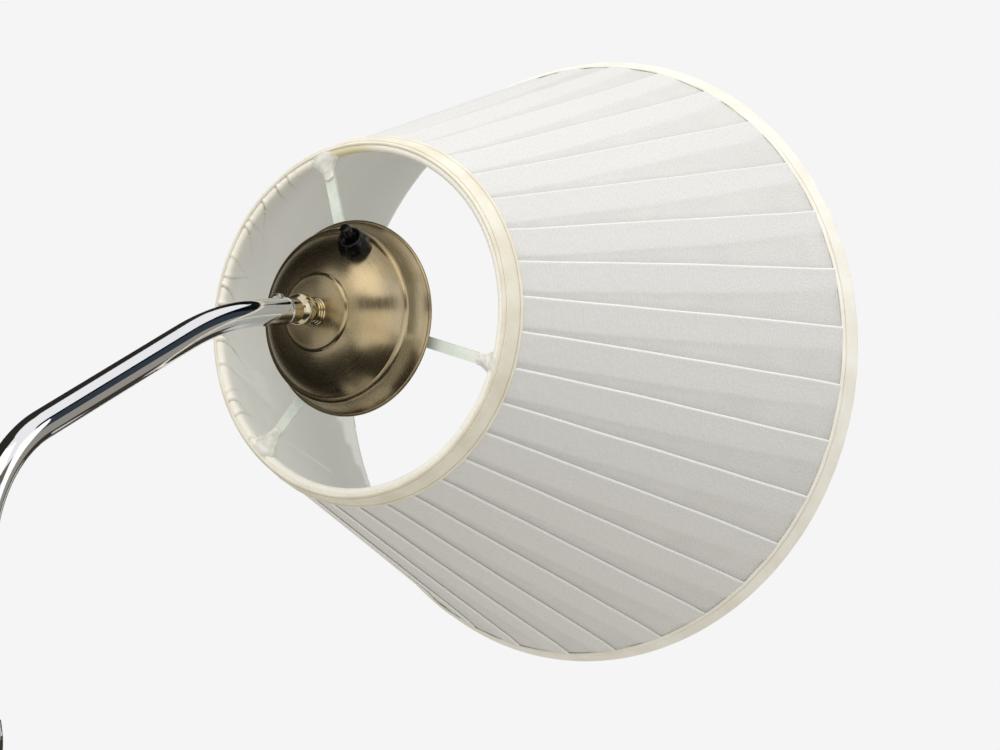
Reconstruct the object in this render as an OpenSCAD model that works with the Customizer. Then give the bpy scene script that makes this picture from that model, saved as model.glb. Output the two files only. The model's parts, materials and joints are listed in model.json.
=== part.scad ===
// Bridge floor lamp: a weighted round base, a telescoping pole, a bent bridge
// arm, a ball swivel, a spun metal cap with a push switch and a lampholder, and
// a tapered cloth shade with knife pleats, hung on a wire frame.
//
// Millimetres, +Z up. The origin is the centre of the base's underside. The
// pole stands on Z and the arm lies in the XZ plane, reaching towards +X.
// The head (cap, lampholder, shade) is drawn along its own axis: z is measured
// from the centre of the swivel ball towards the shade's large ring.

/* [Base] */
// Outer diameter of the base cover
base_d = 260; // [220:5:320]
// Height of the hub of the cover above the floor
base_h = 36; // [32:1:50]
// Height of the rim of the cover above the felt
base_rim_h = 16; // [15:0.5:19]
// Radius of the rounded top edge of the rim
base_edge_r = 5; // [3:0.5:5.5]
// Sheet thickness of the base cover
base_wall = 1.2; // [0.8:0.1:1.8]
// Diameter of the flat hub that carries the pole
hub_d = 52; // [50:1:70]
// Thickness of the felt disc under the base
felt_t = 2; // [1:0.5:4]
// Diameter of the iron weight
weight_d = 222; // [150:2:226]
// Thickness of the iron weight
weight_t = 13; // [11:0.5:14]
// Diameter of the mains cord that the rubber grommet takes
cord_d = 6.4; // [5.6:0.2:7]

/* [Pole] */
// Outside diameter of the pole
pole_d = 16; // [15.6:0.1:17]
// Wall of the pole
pole_wall = 0.7; // [0.5:0.1:0.9]
// Height of the middle of the pole's collar above the floor
collar_z = 1052; // [700:2:1200]
// Length of the collar
collar_len = 20; // [18:1:30]
// Diameter of the collar at its middle
collar_d = 20.4; // [20:0.2:26]
// Diameter of the knob of the clamp screw
knob_d = 17; // [12:0.5:24]
// Diameter of the clamp screw
clamp_screw_d = 5; // [4:0.5:6]

/* [Arm] */
// Outside diameter of the arm tube
arm_d = 14; // [13.4:0.1:14.4]
// Wall of the arm tube
arm_wall = 1; // [0.7:0.1:1.2]
// Height of the swivel ball above the collar
head_rise = 198; // [190:1:320]
// Length of straight stem below the lower bend
stem_len = 360; // [300:5:500]
// Radius of the lower bend, to the middle of the tube
low_bend_r = 65.5; // [40:0.5:72]
// Slope of the middle of the arm above the horizontal
mid_slope = 21.8; // [10:0.2:25]
// Length of the straight middle of the arm
mid_len = 109; // [60:0.2:112]
// Radius of the upper bend, to the middle of the tube
up_bend_r = 190; // [60:5:200]
// Slope of the end of the arm above the horizontal
end_slope = 4.1; // [0:0.1:8]
// Length from the upper bend to the centre of the ball
end_len = 37.4; // [34:0.2:80]

/* [Swivel] */
// Diameter of the swivel ball
ball_d = 17; // [16:0.5:20]
// Distance from the end of the arm tube to the centre of the ball
ball_gap = 12.4; // [11:0.2:14]
// Diameter of the hinge pin through the ball
pin_d = 3; // [2.5:0.1:3.4]
// Thickness of the tongue that turns in the ball
tongue_t = 6; // [5:0.2:7]
// Angle of the head's axis below the horizontal as it hangs
head_drop = 5; // [0:0.5:30]
// Diameter of the head of the screw that holds the swivel in the arm
lock_head_d = 7; // [6:0.2:8]

/* [Cap] */
// Diameter of the rim of the cap
cap_d = 104; // [100:1:116]
// Height of the cap from its boss to its rim
cap_h = 32.5; // [30:0.5:38]
// Diameter of the raised boss
boss_d = 41.6; // [36:0.4:46]
// Distance from the ball's centre to the face of the boss
boss_z = 12; // [11.8:0.1:14]
// Wall of the spun cap
cap_wall = 1; // [0.7:0.1:1.4]
// Diameter of the foot of the dome
dome_d = 86.6; // [84:0.2:90]
// Angle of the push switch around the cap
switch_turn = 206; // [190:1:230]
// Lean of the push switch away from the cap's axis
switch_lean = 31; // [29:0.5:33]
// Distance of the push switch from the cap's axis
switch_r = 37.8; // [37.6:0.1:38.4]
// Diameter of the foot of the switch sleeve
sleeve_d = 16.6; // [15:0.2:17.6]
// Height of the switch sleeve
sleeve_h = 10.5; // [9.5:0.1:12]
// Diameter of the push button
button_d = 5.6; // [5:0.1:6]
// Height of the button above its sleeve
button_h = 8.3; // [6:0.1:10]
// Travel of the button
button_travel = 2.5; // [1.5:0.1:3]

/* [Lampholder] */
// Outside diameter of the lampholder
holder_d = 39; // [38:0.2:40]
// Length from the spider to the mouth of the lampholder
holder_len = 36; // [34:1:40]
// Inside diameter of the threaded contact sleeve (E27 lamp cap)
socket_d = 26.8; // [26.6:0.1:27.2]

/* [Shade] */
// Outer diameter of the small ring
shade_top_d = 190; // [180:1:230]
// Outer diameter of the large ring
shade_low_d = 356; // [300:1:360]
// Height of the shade along its axis
shade_h = 234; // [220:1:260]
// Distance from the ball's centre to the small end of the shade
shade_z = 48.3; // [48.3:0.1:49]
// Number of knife pleats
pleats = 33; // [24:1:40]
// Height of a pleat's fold above the cloth beside it
pleat_rise = 1.3; // [0.6:0.1:1.5]
// Part of each pitch that lies over a fold, at the small ring
pleat_lap_top = 0.88; // [0.5:0.01:0.9]
// Part of each pitch that lies over a fold, at the large ring
pleat_lap_low = 0.42; // [0.3:0.01:0.8]
// Diameter of the frame's wire
wire_d = 3; // [2.6:0.1:3.2]
// Width of the spider's strips
strip_w = 6; // [5:0.2:7]
// Thickness of the spider's strips
strip_t = 1.8; // [1.5:0.1:2]
// Width of the binding tape on the outside of each ring
tape_w = 10; // [8:0.5:14]
// Number of upright wires between the rings
ribs = 6; // [6:1:6]

/* [Fits] */
// Radial clearance of threads and of pieces that sit in each other
seat_gap = 0.05; // [0.03:0.01:0.08]
// Radial clearance between pieces that turn or slide in each other
run_gap = 0.3; // [0.25:0.01:0.35]
// Radial clearance of a pin or shaft in its bearing
pin_gap = 0.06; // [0.03:0.01:0.09]

/* [Hidden] */
$fn = 64;
eps = 0.01;
through = 1;

// Base
base_r = base_d / 2;
hub_r = hub_d / 2;
hub_step_w = 9;
hub_step_h = 4;
nipple_r = 5;
nipple_bore_r = 3.6;
washer_r = 16;
washer_t = 1.5;
nut_flat = 17;
nut_t = 5;
nut_r = nut_flat / 2 / cos(30);
recess_r = 22;
recess_h = washer_t + nut_t + 2;
weight_hub_r = 20;
cord_slot_w = cord_d + 2;
grommet_r = cord_d / 2 + 0.9;
grommet_flange_r = grommet_r + 0.9;
grommet_flange_t = 1.4;
grommet_gap = 0.1;
grommet_z = felt_t + grommet_flange_r + 0.8;

// Pole
pole_r = pole_d / 2;
pole_bore_r = pole_r - pole_wall;
foot_web = 2;
foot_h = 28;
foot_flange_h = 3;
foot_top_r = pole_r + 3.5;
pole_z = base_h + foot_web;
plug_h = 24;
collar_low_z = collar_z - collar_len / 2;
collar_top_z = collar_z + collar_len / 2;
pole_top_z = collar_z;
collar_r = collar_d / 2;
collar_end_r = collar_r - 1;
stem_r = arm_d / 2;
stem_bore_r = stem_r - arm_wall;
clamp_z = collar_z + collar_len / 4;
clamp_boss_r = clamp_screw_d / 2 + 2.2;
clamp_boss_x = collar_r + 4;
knob_t = 9;
knob_flutes = 12;
knob_x = clamp_boss_x + 1;
clamp_tip_x = stem_r + run_gap;

// Arm: headings are measured from straight up, towards +X
mid_heading = 90 - mid_slope;
end_heading = 90 - end_slope;
arm_reach = low_bend_r * (1 - cos(mid_heading)) + mid_len * sin(mid_heading)
    + up_bend_r * (cos(mid_heading) - cos(end_heading)) + end_len * sin(end_heading);
arm_climb = low_bend_r * sin(mid_heading) + mid_len * cos(mid_heading)
    + up_bend_r * (sin(end_heading) - sin(mid_heading)) + end_len * cos(end_heading);
head_z = collar_z + head_rise;
stem_top_z = head_z - arm_climb;
stem_low_z = stem_top_z - stem_len;
guide_flange_h = 4;
guide_spigot_h = 14;
guide_face_gap = 0.2;
lead_bore_r = 3.2;
bend_thinning = 0.1;
bend_lap = 0.5;

// Swivel, along the end of the arm
ball_r = ball_d / 2;
ball_neck_r = stem_r - 0.4;
spigot_len = 18;
spigot_r = stem_bore_r - run_gap;
lock_head_r = lock_head_d / 2;
lock_head_h = 2.5;
lock_rim_gap = 0.2;
lock_z = -(ball_gap + lock_rim_gap + lock_head_r);
lock_turn = 162;
lock_shank_r = 1.5;
lock_groove_r = spigot_r - 1.6;
swivel_bore_r = 2;
pocket_r = 5.4;
slot_w = tongue_t + 2 * run_gap;
tilt_max = 90;
pin_r = pin_d / 2;
pin_len = 2 * sqrt(pow(ball_r, 2) - pow(pin_r, 2)) - 0.4;
eye_r = pocket_r - 0.4;
rod_r = tongue_t / 2;

// Neck and cap, along the head
neck_steps = [0.34, 0.67, 1];
neck_low_z = ball_r + 0.4;
neck_len = boss_z - neck_low_z;
neck_r = [6.1, 6.9, 7.7];
stem_thread_end = 26;
rim_z = boss_z + cap_h;
cap_r = cap_d / 2;
boss_r = boss_d / 2;
boss_edge_r = 1.2;
dome_start = [boss_r + 1.2, boss_z + 2.2];
dome_end = [dome_d / 2, rim_z - 15.1];
dome_sag = 2.7;
step_r = dome_end[0] + 3;
step_edge_r = 2.4;
skirt_sag = 1.2;
rim_bead_r = 0.9;
rim_bead = [cap_r - rim_bead_r, rim_z - rim_bead_r];
cap_hole_r = nipple_r + seat_gap;

// Switch, along its own axis, z = 0 on the dome
bush_r = 5;
switch_seat_z = -3.4;
switch_body_r = 6.4;
switch_body_h = 15.4;
tag_h = 3;
sleeve_top_r = 6.2;
sleeve_lip = 1.4;
sleeve_lip_depth = 1.5;
button_r = button_d / 2;
button_bore_r = button_r + run_gap;
button_flange_r = button_r + 1.4;
button_flange_t = 1.2;
button_tip_h = 1.2;
switch_well = button_travel + button_flange_t + 1;
lead_r = 1.1;

// Lampholder, along the head
holder_r = holder_d / 2;
holder_neck_r = 8;
holder_neck_z = boss_z + cap_wall + eps;
holder_dome_z = holder_neck_z + 6;
holder_skirt_z = holder_dome_z + 12;
holder_joint_z = holder_skirt_z + 5;
holder_wall = 2;
strip_z = shade_z + 2.1;
shoulder_t = 2;
shoulder_r = holder_r + 1.8;
holder_mouth_z = strip_z + holder_len;
core_r = holder_r - holder_wall - 1;
core_z = holder_skirt_z - 1;
core_h = 14;
socket_r = socket_d / 2;
socket_wall = 0.6;
socket_z = core_z + core_h;
socket_h = 26;
holder_bore_r = socket_r + socket_wall + run_gap;
core_wall_r = holder_bore_r + 1.2;
ring_nut_z = strip_z + strip_t;
ring_nut_h = 5;
thread_pitch = 3;
holder_thread_r = holder_r + 0.5;
ring_nut_r = holder_r + 4;

// Shade, along the head; radii at height z follow the cone of the tape
shade_low_z = shade_z + shade_h;
cone = (shade_low_d - shade_top_d) / 2 / shade_h;
tape_t = 0.6;
layer_gap = 0.3;
cover_in = tape_t + layer_gap;
cover_t = 2.2;
wire_r = wire_d / 2;
wire_in = cover_in + cover_t + layer_gap + wire_r * 1.07;
lining_in = wire_in + wire_r * 1.07 + layer_gap;
lining_t = 0.5;
cloth_in = lining_in + lining_t + layer_gap;
ring_inset = 3;
top_ring_z = shade_z + ring_inset;
low_ring_z = shade_low_z - ring_inset;
lining_top_z = strip_z + strip_t + 1.2;
strip_turns = [163, 39.5, -75];
strip_end_r = cone_r(top_ring_z) - wire_in - wire_r - 0.1;
spider_hub_r = holder_r + 4.5;
tab_len = 13;
tab_gap = 0.3;
tab_t = 1.6;
tab_end_r = cone_r(shade_z) - cloth_in - tape_t - layer_gap;

// Radius of the shade's outer cone at height z
function cone_r(z) = shade_top_d / 2 + (z - shade_z) * cone;

// Radius and centre of the circular arc from a to b that bows sideways by sag
function bow_radius(a, b, sag) = (pow(norm(b - a) / 2, 2) + sag * sag) / (2 * abs(sag));
function bow_side(a, b, sag) =
    let (along = (b - a) / norm(b - a)) (sag > 0 ? 1 : -1) * [along[1], -along[0]];
function bow_centre(a, b, sag) =
    (a + b) / 2 - bow_side(a, b, sag) * (bow_radius(a, b, sag) - abs(sag));

// Points of that arc
function bow(a, b, sag, n = 12) =
    let (r = bow_radius(a, b, sag),
         along = (b - a) / norm(b - a),
         half_turn = asin(norm(b - a) / 2 / r))
    [for (i = [0:n])
        let (t = half_turn * (2 * i / n - 1))
        bow_centre(a, b, sag) + r * (along * sin(t) + bow_side(a, b, sag) * cos(t))];

// Points of an arc around c from angle a0 to a1
function arc(c, r, a0, a1, n = 8) =
    [for (i = [0:n]) c + r * [cos(a0 + (a1 - a0) * i / n), sin(a0 + (a1 - a0) * i / n)]];

function reversed(list) = [for (i = [len(list) - 1:-1:0]) list[i]];

// A path moved sideways, to its left, by t
function beside(path, t) =
    [for (i = [0:len(path) - 1])
        let (d = path[min(i + 1, len(path) - 1)] - path[max(i - 1, 0)])
        path[i] + t * [-d[1], d[0]] / norm(d)];

// ---- helpers -------------------------------------------------------------

module pipe(r_out, r_in, z0, z1) {
    translate([0, 0, z0])
        difference() {
            cylinder(r = r_out, h = z1 - z0);
            translate([0, 0, -through]) cylinder(r = r_in, h = z1 - z0 + 2 * through);
        }
}

// A round lead along straight runs with round knees
module lead_along(points, r) {
    for (i = [0:len(points) - 2]) {
        step = points[i + 1] - points[i];
        length = norm(step);
        translate(points[i])
            rotate([0, acos(step[2] / length), atan2(step[1], step[0])])
                cylinder(r = r, h = length, $fn = 24);
    }
    for (i = [1:len(points) - 2]) translate(points[i]) sphere(r = r + 0.1, $fn = 24);
}

// One bend of the arm tube: it starts at the origin going up and turns to +X
module bend(radius, turn) {
    translate([radius, 0, 0])
        mirror([1, 0, 0])
            rotate([90, 0, 0])
                rotate_extrude(angle = turn, $fn = 128)
                    translate([radius, 0]) tube_section();
}

// Bending draws the tube's wall a little thinner
module tube_section() {
    difference() {
        circle(r = stem_r - bend_thinning, $fn = 48);
        circle(r = stem_bore_r + bend_thinning, $fn = 48);
    }
}

module after_bend(radius, from, to) {
    translate([radius * (cos(from) - cos(to)), 0, radius * (sin(to) - sin(from))]) children();
}

// Origin at the ball, +Z along the end of the arm, away from the pole
module arm_end() {
    translate([arm_reach, 0, head_z]) rotate([0, end_heading, 0]) children();
}

// Origin at the ball, +Z along the head towards the shade's large ring
module head() {
    translate([arm_reach, 0, head_z]) rotate([0, 90 + head_drop, 0]) children();
}

// Origin on the dome, +Z outwards along the push switch
module at_switch() {
    rotate([0, 0, switch_turn])
        translate([switch_r, 0, dome_z(switch_r)])
            rotate([0, 180 - switch_lean, 0]) children();
}

// ---- base ----------------------------------------------------------------

module base_felt() {
    color("dimgray")
        cylinder(r = base_r - 0.5, h = felt_t, $fn = 128);
}

module base_outline(inset, z_low) {
    rim_top = felt_t + base_rim_h;
    corner = [base_r - base_edge_r, rim_top - base_edge_r];
    polygon(concat(
        [[0, z_low], [base_r - inset, z_low]],
        arc(corner, base_edge_r - inset, 0, 84),
        [[hub_r + hub_step_w, base_h - hub_step_h - inset],
         [hub_r, base_h - inset],
         [0, base_h - inset]]));
}

module base_cover() {
    color("gainsboro")
        difference() {
            rotate_extrude($fn = 128) base_outline(0, felt_t);
            rotate_extrude($fn = 128) base_outline(base_wall, felt_t - through);
            cylinder(r = nipple_r + seat_gap, h = base_h + through);
            grommet_hole();
        }
}

module grommet_hole() {
    translate([-base_r - through, 0, grommet_z])
        rotate([0, 90, 0]) cylinder(r = grommet_r, h = base_wall + 2 * through + 2);
}

// Rubber bush with a flange on each side of the cover's rim
module cord_grommet() {
    groove = base_wall / 2 + grommet_gap;
    end = groove + grommet_flange_t;
    color("black")
        translate([-base_r + base_wall / 2, 0, grommet_z])
            rotate([0, 90, 0])
                rotate_extrude()
                    polygon([
                        [cord_d / 2, -end], [grommet_flange_r, -end], [grommet_flange_r, -groove],
                        [grommet_r - seat_gap, -groove], [grommet_r - seat_gap, groove],
                        [grommet_flange_r, groove], [grommet_flange_r, end], [cord_d / 2, end]]);
}

module base_weight() {
    color("darkslategray")
        difference() {
            union() {
                translate([0, 0, felt_t]) cylinder(d = weight_d, h = weight_t - 2, $fn = 128);
                translate([0, 0, felt_t + weight_t - 2])
                    cylinder(d1 = weight_d, d2 = weight_d - 4, h = 2, $fn = 128);
                translate([0, 0, felt_t + 1])
                    cylinder(r = weight_hub_r, h = base_h - base_wall - felt_t - 1);
            }
            cylinder(r = nipple_r + run_gap, h = base_h);
            translate([0, 0, felt_t - through]) cylinder(r = recess_r, h = recess_h + through);
            translate([-weight_d / 2 - through, -cord_slot_w / 2, felt_t - through])
                cube([weight_d / 2 + through, cord_slot_w, recess_h + through]);
        }
}

module base_nipple() {
    color("silver")
        pipe(nipple_r, nipple_bore_r, felt_t + 1, base_h + foot_h - 4);
}

module base_washer() {
    color("silver")
        pipe(washer_r, nipple_r + seat_gap, felt_t + recess_h - washer_t, felt_t + recess_h);
}

module base_nut() {
    color("silver")
        translate([0, 0, felt_t + recess_h - washer_t - nut_t])
            difference() {
                cylinder(r = nut_r, h = nut_t, $fn = 6);
                translate([0, 0, -through])
                    cylinder(r = nipple_r + seat_gap, h = nut_t + 2 * through);
            }
}

// ---- pole ----------------------------------------------------------------

module pole_foot() {
    color("silver")
        difference() {
            translate([0, 0, base_h])
                rotate_extrude()
                    polygon(concat(
                        [[0, 0], [hub_r - 1.5, 0]],
                        arc([hub_r - 3, foot_flange_h - 1.5], 1.5, 0, 90, 5),
                        bow([hub_r - 5, foot_flange_h], [foot_top_r, foot_h - 2], -4, 10),
                        arc([foot_top_r - 1.5, foot_h - 1.5], 1.5, 0, 90, 5),
                        [[0, foot_h]]));
            translate([0, 0, pole_z]) cylinder(r = pole_r + seat_gap, h = foot_h);
            cylinder(r = nipple_r + seat_gap, h = base_h + foot_h);
        }
}

module pole_plug() {
    color("silver")
        pipe(pole_bore_r - seat_gap, nipple_r + seat_gap, pole_z, pole_z + plug_h);
}

module pole_tube() {
    color("whitesmoke")
        pipe(pole_r, pole_bore_r, pole_z, pole_top_z);
}

// The collar caps the pole, guides the arm's stem and carries the clamp screw
module pole_collar() {
    color("silver")
        difference() {
            union() {
                rotate_extrude()
                    polygon(concat(
                        [[0, collar_low_z]],
                        bow([collar_end_r, collar_low_z], [collar_end_r, collar_top_z],
                            collar_r - collar_end_r, 12),
                        [[0, collar_top_z]]));
                translate([-clamp_boss_x, 0, clamp_z])
                    rotate([0, 90, 0]) cylinder(r = clamp_boss_r, h = clamp_boss_x - stem_r - 1);
            }
            translate([0, 0, collar_low_z - through])
                cylinder(r = pole_r + seat_gap, h = pole_top_z - collar_low_z + through);
            translate([0, 0, collar_low_z]) cylinder(r = stem_r + run_gap, h = collar_len + through);
            translate([-clamp_boss_x - through, 0, clamp_z])
                rotate([0, 90, 0])
                    cylinder(r = clamp_screw_d / 2 + pin_gap, h = clamp_boss_x + through);
        }
}

module clamp_knob() {
    color("silver")
        translate([-knob_x, 0, clamp_z])
            rotate([0, -90, 0])
                difference() {
                    rotate_extrude()
                        polygon(concat(
                            [[0, 0], [knob_d / 2 - 4, 0]],
                            arc([knob_d / 2 - 1, 3], 1, -45, 0, 3),
                            arc([knob_d / 2 - 2, knob_t - 2], 2, 0, 90, 6),
                            [[0, knob_t]]));
                    translate([0, 0, -through])
                        cylinder(r = clamp_screw_d / 2 + seat_gap, h = knob_t - 3 + through);
                    for (i = [0:knob_flutes - 1])
                        rotate([0, 0, i * 360 / knob_flutes])
                            translate([knob_d / 2 + 0.7, 0, 1])
                                cylinder(r = 1.4, h = knob_t, $fn = 24);
                }
}

module clamp_screw() {
    color("silver")
        translate([-knob_x - knob_t + 3.2, 0, clamp_z])
            rotate([0, 90, 0])
                cylinder(r = clamp_screw_d / 2, h = knob_x + knob_t - 3.2 - clamp_tip_x);
}

// ---- arm -----------------------------------------------------------------

// Slides in the pole and carries the turning stem on its flange
module stem_guide() {
    color("ivory")
        translate([0, 0, stem_low_z - guide_face_gap])
            difference() {
                union() {
                    translate([0, 0, -guide_flange_h]) cylinder(r = stem_r, h = guide_flange_h);
                    translate([0, 0, -eps])
                        cylinder(r = stem_bore_r - run_gap, h = guide_spigot_h + eps);
                }
                translate([0, 0, -guide_flange_h - through])
                    cylinder(r = lead_bore_r, h = guide_flange_h + guide_spigot_h + 2 * through);
            }
}

module arm_tube() {
    color("whitesmoke")
        difference() {
            translate([0, 0, stem_low_z]) {
                pipe(stem_r, stem_bore_r, 0, stem_len + bend_lap);
                translate([0, 0, stem_len]) {
                    bend(low_bend_r, mid_heading);
                    after_bend(low_bend_r, 0, mid_heading) rotate([0, mid_heading, 0]) {
                        pipe(stem_r, stem_bore_r, -bend_lap, mid_len + bend_lap);
                        translate([0, 0, mid_len]) {
                            bend(up_bend_r, end_heading - mid_heading);
                            after_bend(up_bend_r, 0, end_heading - mid_heading)
                                rotate([0, end_heading - mid_heading, 0])
                                    pipe(stem_r, stem_bore_r, -bend_lap, end_len - ball_gap);
                        }
                    }
                }
            }
            arm_end() lock_hole();
        }
}

module at_lock() {
    rotate([0, 0, lock_turn])
        translate([0, 0, lock_z]) rotate([0, 90, 0]) children();
}

module lock_hole() {
    at_lock() cylinder(r = lock_shank_r + seat_gap, h = stem_r + through, $fn = 32);
}

// Pan-head screw whose tip runs in the spigot's groove
module swivel_lock_screw() {
    color("silver")
        arm_end()
            difference() {
                at_lock() {
                    translate([0, 0, lock_groove_r + run_gap])
                        cylinder(r = lock_shank_r, h = stem_r - lock_groove_r, $fn = 32);
                    intersection() {
                        translate([0, 0, stem_r - 1.2]) cylinder(r = lock_head_r, h = lock_head_h + 1.2);
                        translate([0, 0, stem_r + lock_head_h - 4.4]) sphere(r = 4.4);
                    }
                }
                difference() {
                    translate([0, 0, lock_z - 6]) cylinder(r = stem_r + 0.02, h = 12);
                    at_lock() cylinder(r = lock_shank_r, h = stem_r + 2, $fn = 32);
                }
            }
}

// ---- swivel --------------------------------------------------------------

module swivel_ball() {
    color("goldenrod")
        arm_end()
            difference() {
                union() {
                    sphere(r = ball_r, $fn = 96);
                    translate([0, 0, -ball_gap + 0.2])
                        cylinder(r = ball_neck_r, h = ball_gap - 4.2);
                    translate([0, 0, -ball_gap - spigot_len])
                        cylinder(r = spigot_r, h = spigot_len + 1);
                }
                translate([0, 0, lock_z])
                    pipe(spigot_r + through, lock_groove_r, -lock_shank_r - 0.3, lock_shank_r + 0.3);
                translate([0, 0, -ball_gap - spigot_len - through])
                    cylinder(r = swivel_bore_r, h = ball_gap + spigot_len + through);
                translate([0, slot_w / 2, 0])
                    rotate([90, 0, 0]) linear_extrude(slot_w) slot_outline();
                translate([0, ball_r + through, 0])
                    rotate([90, 0, 0])
                        cylinder(r = pin_r + seat_gap / 2, h = ball_d + 2 * through, $fn = 32);
            }
}

// The slot seen from the side: a round pocket for the eye and a fan for the rod,
// with straight sides where the rod comes to rest at each end of its swing
module slot_outline() {
    circle(r = pocket_r);
    polygon(concat(
        [[0, 0]],
        [for (i = [0:12])
            let (t = tilt_max * i / 12)
            (ball_r + 6) * [sin(t), cos(t)]]));
    for (t = [0, tilt_max])
        rotate([0, 0, -t])
            translate([-rod_r - run_gap, 0]) square([2 * (rod_r + run_gap), ball_r + 5]);
}

module swivel_pin() {
    color("silver")
        arm_end()
            translate([0, pin_len / 2, 0])
                rotate([90, 0, 0]) cylinder(r = pin_r, h = pin_len, $fn = 32);
}

// ---- neck and cap --------------------------------------------------------

module swivel_tongue() {
    color("goldenrod")
        head()
            difference() {
                union() {
                    translate([0, tongue_t / 2, 0])
                        rotate([90, 0, 0]) cylinder(r = eye_r, h = tongue_t);
                    translate([0, 0, 1]) cylinder(r = rod_r, h = neck_low_z - 1 + eps);
                    translate([0, 0, neck_low_z])
                        cylinder(r = nipple_r, h = stem_thread_end - neck_low_z);
                }
                translate([0, tongue_t / 2 + through, 0])
                    rotate([90, 0, 0])
                        cylinder(r = pin_r + pin_gap, h = tongue_t + 2 * through, $fn = 32);
                translate([0, 0, eye_r + 0.4])
                    cylinder(r = swivel_bore_r - 0.2, h = stem_thread_end);
            }
}

module neck_ring(i, shine) {
    z0 = neck_low_z + (i == 0 ? 0 : neck_len * neck_steps[i - 1]);
    z1 = neck_low_z + neck_len * neck_steps[i];
    round_r = (z1 - z0) / 2;
    color(shine)
        head()
            difference() {
                rotate_extrude()
                    polygon(concat(
                        [[0, z0]],
                        arc([neck_r[i] - round_r, (z0 + z1) / 2], round_r, -90, 90, 6),
                        [[0, z1]]));
                translate([0, 0, z0 - through])
                    cylinder(r = nipple_r + seat_gap, h = z1 - z0 + 2 * through);
            }
}

module neck_washer_small() {
    neck_ring(0, "goldenrod");
}

module neck_washer_large() {
    neck_ring(1, "goldenrod");
}

module neck_nut() {
    neck_ring(2, "goldenrod");
}

// Height of the dome's outer face at radius r, from the arc that the cap uses
function dome_z(r) =
    let (centre = bow_centre(dome_start, dome_end, dome_sag),
         big = bow_radius(dome_start, dome_end, dome_sag))
    centre[1] - sqrt(big * big - pow(r - centre[0], 2));

// Outer face of the cap from the boss to the rim, as radius and height
function cap_face() = concat(
    [[cap_hole_r, boss_z]],
    arc([boss_r - boss_edge_r, boss_z + boss_edge_r], boss_edge_r, -90, -10, 5),
    bow(dome_start, dome_end, dome_sag, 16),
    arc([step_r - step_edge_r, dome_end[1] + step_edge_r], step_edge_r, -70, 0, 8),
    bow([step_r, dome_end[1] + step_edge_r + 1], rim_bead, -skirt_sag, 10));

module cap_shell() {
    face = cap_face();
    polygon(concat(face, reversed(beside(face, cap_wall))));
}

module cap() {
    color("tan")
        head()
            difference() {
                union() {
                    rotate_extrude($fn = 128) cap_shell();
                    rotate_extrude($fn = 128)
                        translate(rim_bead) circle(r = rim_bead_r, $fn = 16);
                }
                at_switch()
                    translate([0, 0, switch_seat_z - through])
                        cylinder(r = bush_r + seat_gap, h = 12);
            }
}

// ---- push switch ---------------------------------------------------------

module switch_body() {
    color("black")
        head() at_switch()
            translate([0, 0, switch_seat_z - switch_body_h])
                difference() {
                    union() {
                        cylinder(r = switch_body_r, h = switch_body_h);
                        for (side = [-1, 1])
                            translate([-1.5, side * 3 - 0.4, -tag_h]) cube([3, 0.8, tag_h + eps]);
                    }
                    translate([0, 0, switch_body_h - switch_well])
                        cylinder(r = button_flange_r + run_gap, h = switch_well + through);
                }
}

module switch_bush() {
    color("silver")
        head() at_switch()
            pipe(bush_r, button_bore_r, switch_seat_z, sleeve_h - sleeve_lip_depth - 1.6);
}

// Tapered black sleeve nut, its foot cut to the dome
module switch_sleeve() {
    color("black")
        head()
            difference() {
                at_switch()
                    difference() {
                        rotate_extrude()
                            polygon(concat(
                                [[0, -4], [sleeve_d / 2, -4], [sleeve_d / 2, 1]],
                                bow([sleeve_d / 2, 1], [sleeve_top_r, sleeve_h - 0.5], 0.5, 6),
                                [[sleeve_top_r - 0.4, sleeve_h], [0, sleeve_h]]));
                        translate([0, 0, -5])
                            cylinder(r = bush_r + seat_gap, h = sleeve_h - sleeve_lip_depth + 3.5);
                        translate([0, 0, sleeve_h - sleeve_lip_depth])
                            cylinder(r = sleeve_top_r - sleeve_lip, h = sleeve_lip_depth + through);
                        cylinder(r = button_bore_r, h = sleeve_h + through);
                    }
                rotate_extrude($fn = 128) cap_block();
            }
}

// Everything behind the cap's outer face
module cap_block() {
    face = cap_face();
    polygon(concat(
        [[0, boss_z]],
        [for (p = face) [p[0], p[1] - 0.02]],
        [[cap_r, rim_z + 5], [0, rim_z + 5]]));
}

// The flange at its foot keeps the button under the bush
module switch_button() {
    foot = switch_seat_z - run_gap;
    top = sleeve_h + button_h;
    color("black")
        head() at_switch()
            rotate_extrude()
                polygon(concat(
                    [[0, foot - button_flange_t], [button_flange_r, foot - button_flange_t],
                     [button_flange_r, foot], [button_r, foot]],
                    arc([button_r - button_tip_h, top - button_tip_h], button_tip_h, 0, 90, 5),
                    [[0, top]]));
}

// Ends of the switch's tags and the holes of the lampholder, on the head's axes
function from_switch(p) =
    let (c = cos(180 - switch_lean), s = sin(180 - switch_lean),
         x = switch_r + p[0] * c + p[2] * s,
         z = dome_z(switch_r) - p[0] * s + p[2] * c)
    [x * cos(switch_turn) - p[1] * sin(switch_turn),
     x * sin(switch_turn) + p[1] * cos(switch_turn),
     z];

module switch_lead(side) {
    tag_z = switch_seat_z - switch_body_h - tag_h - 0.1;
    hole_turn = switch_turn + side * 24;
    hole = [holder_r * cos(hole_turn), holder_r * sin(hole_turn), holder_skirt_z + 2.5];
    knee = [(holder_r + 3) * cos(hole_turn), (holder_r + 3) * sin(hole_turn), hole[2]];
    inner = [(holder_r - 1.6) * cos(hole_turn), (holder_r - 1.6) * sin(hole_turn), hole[2]];
    head() lead_along([from_switch([0, side * 3, tag_z]), from_switch([0, side * 3, tag_z - 1.2]),
        from_switch([0, side * 5.5, tag_z - 2.4]), knee, inner], lead_r);
}

module switch_lead_a() {
    color("sienna") switch_lead(1);
}

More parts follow.
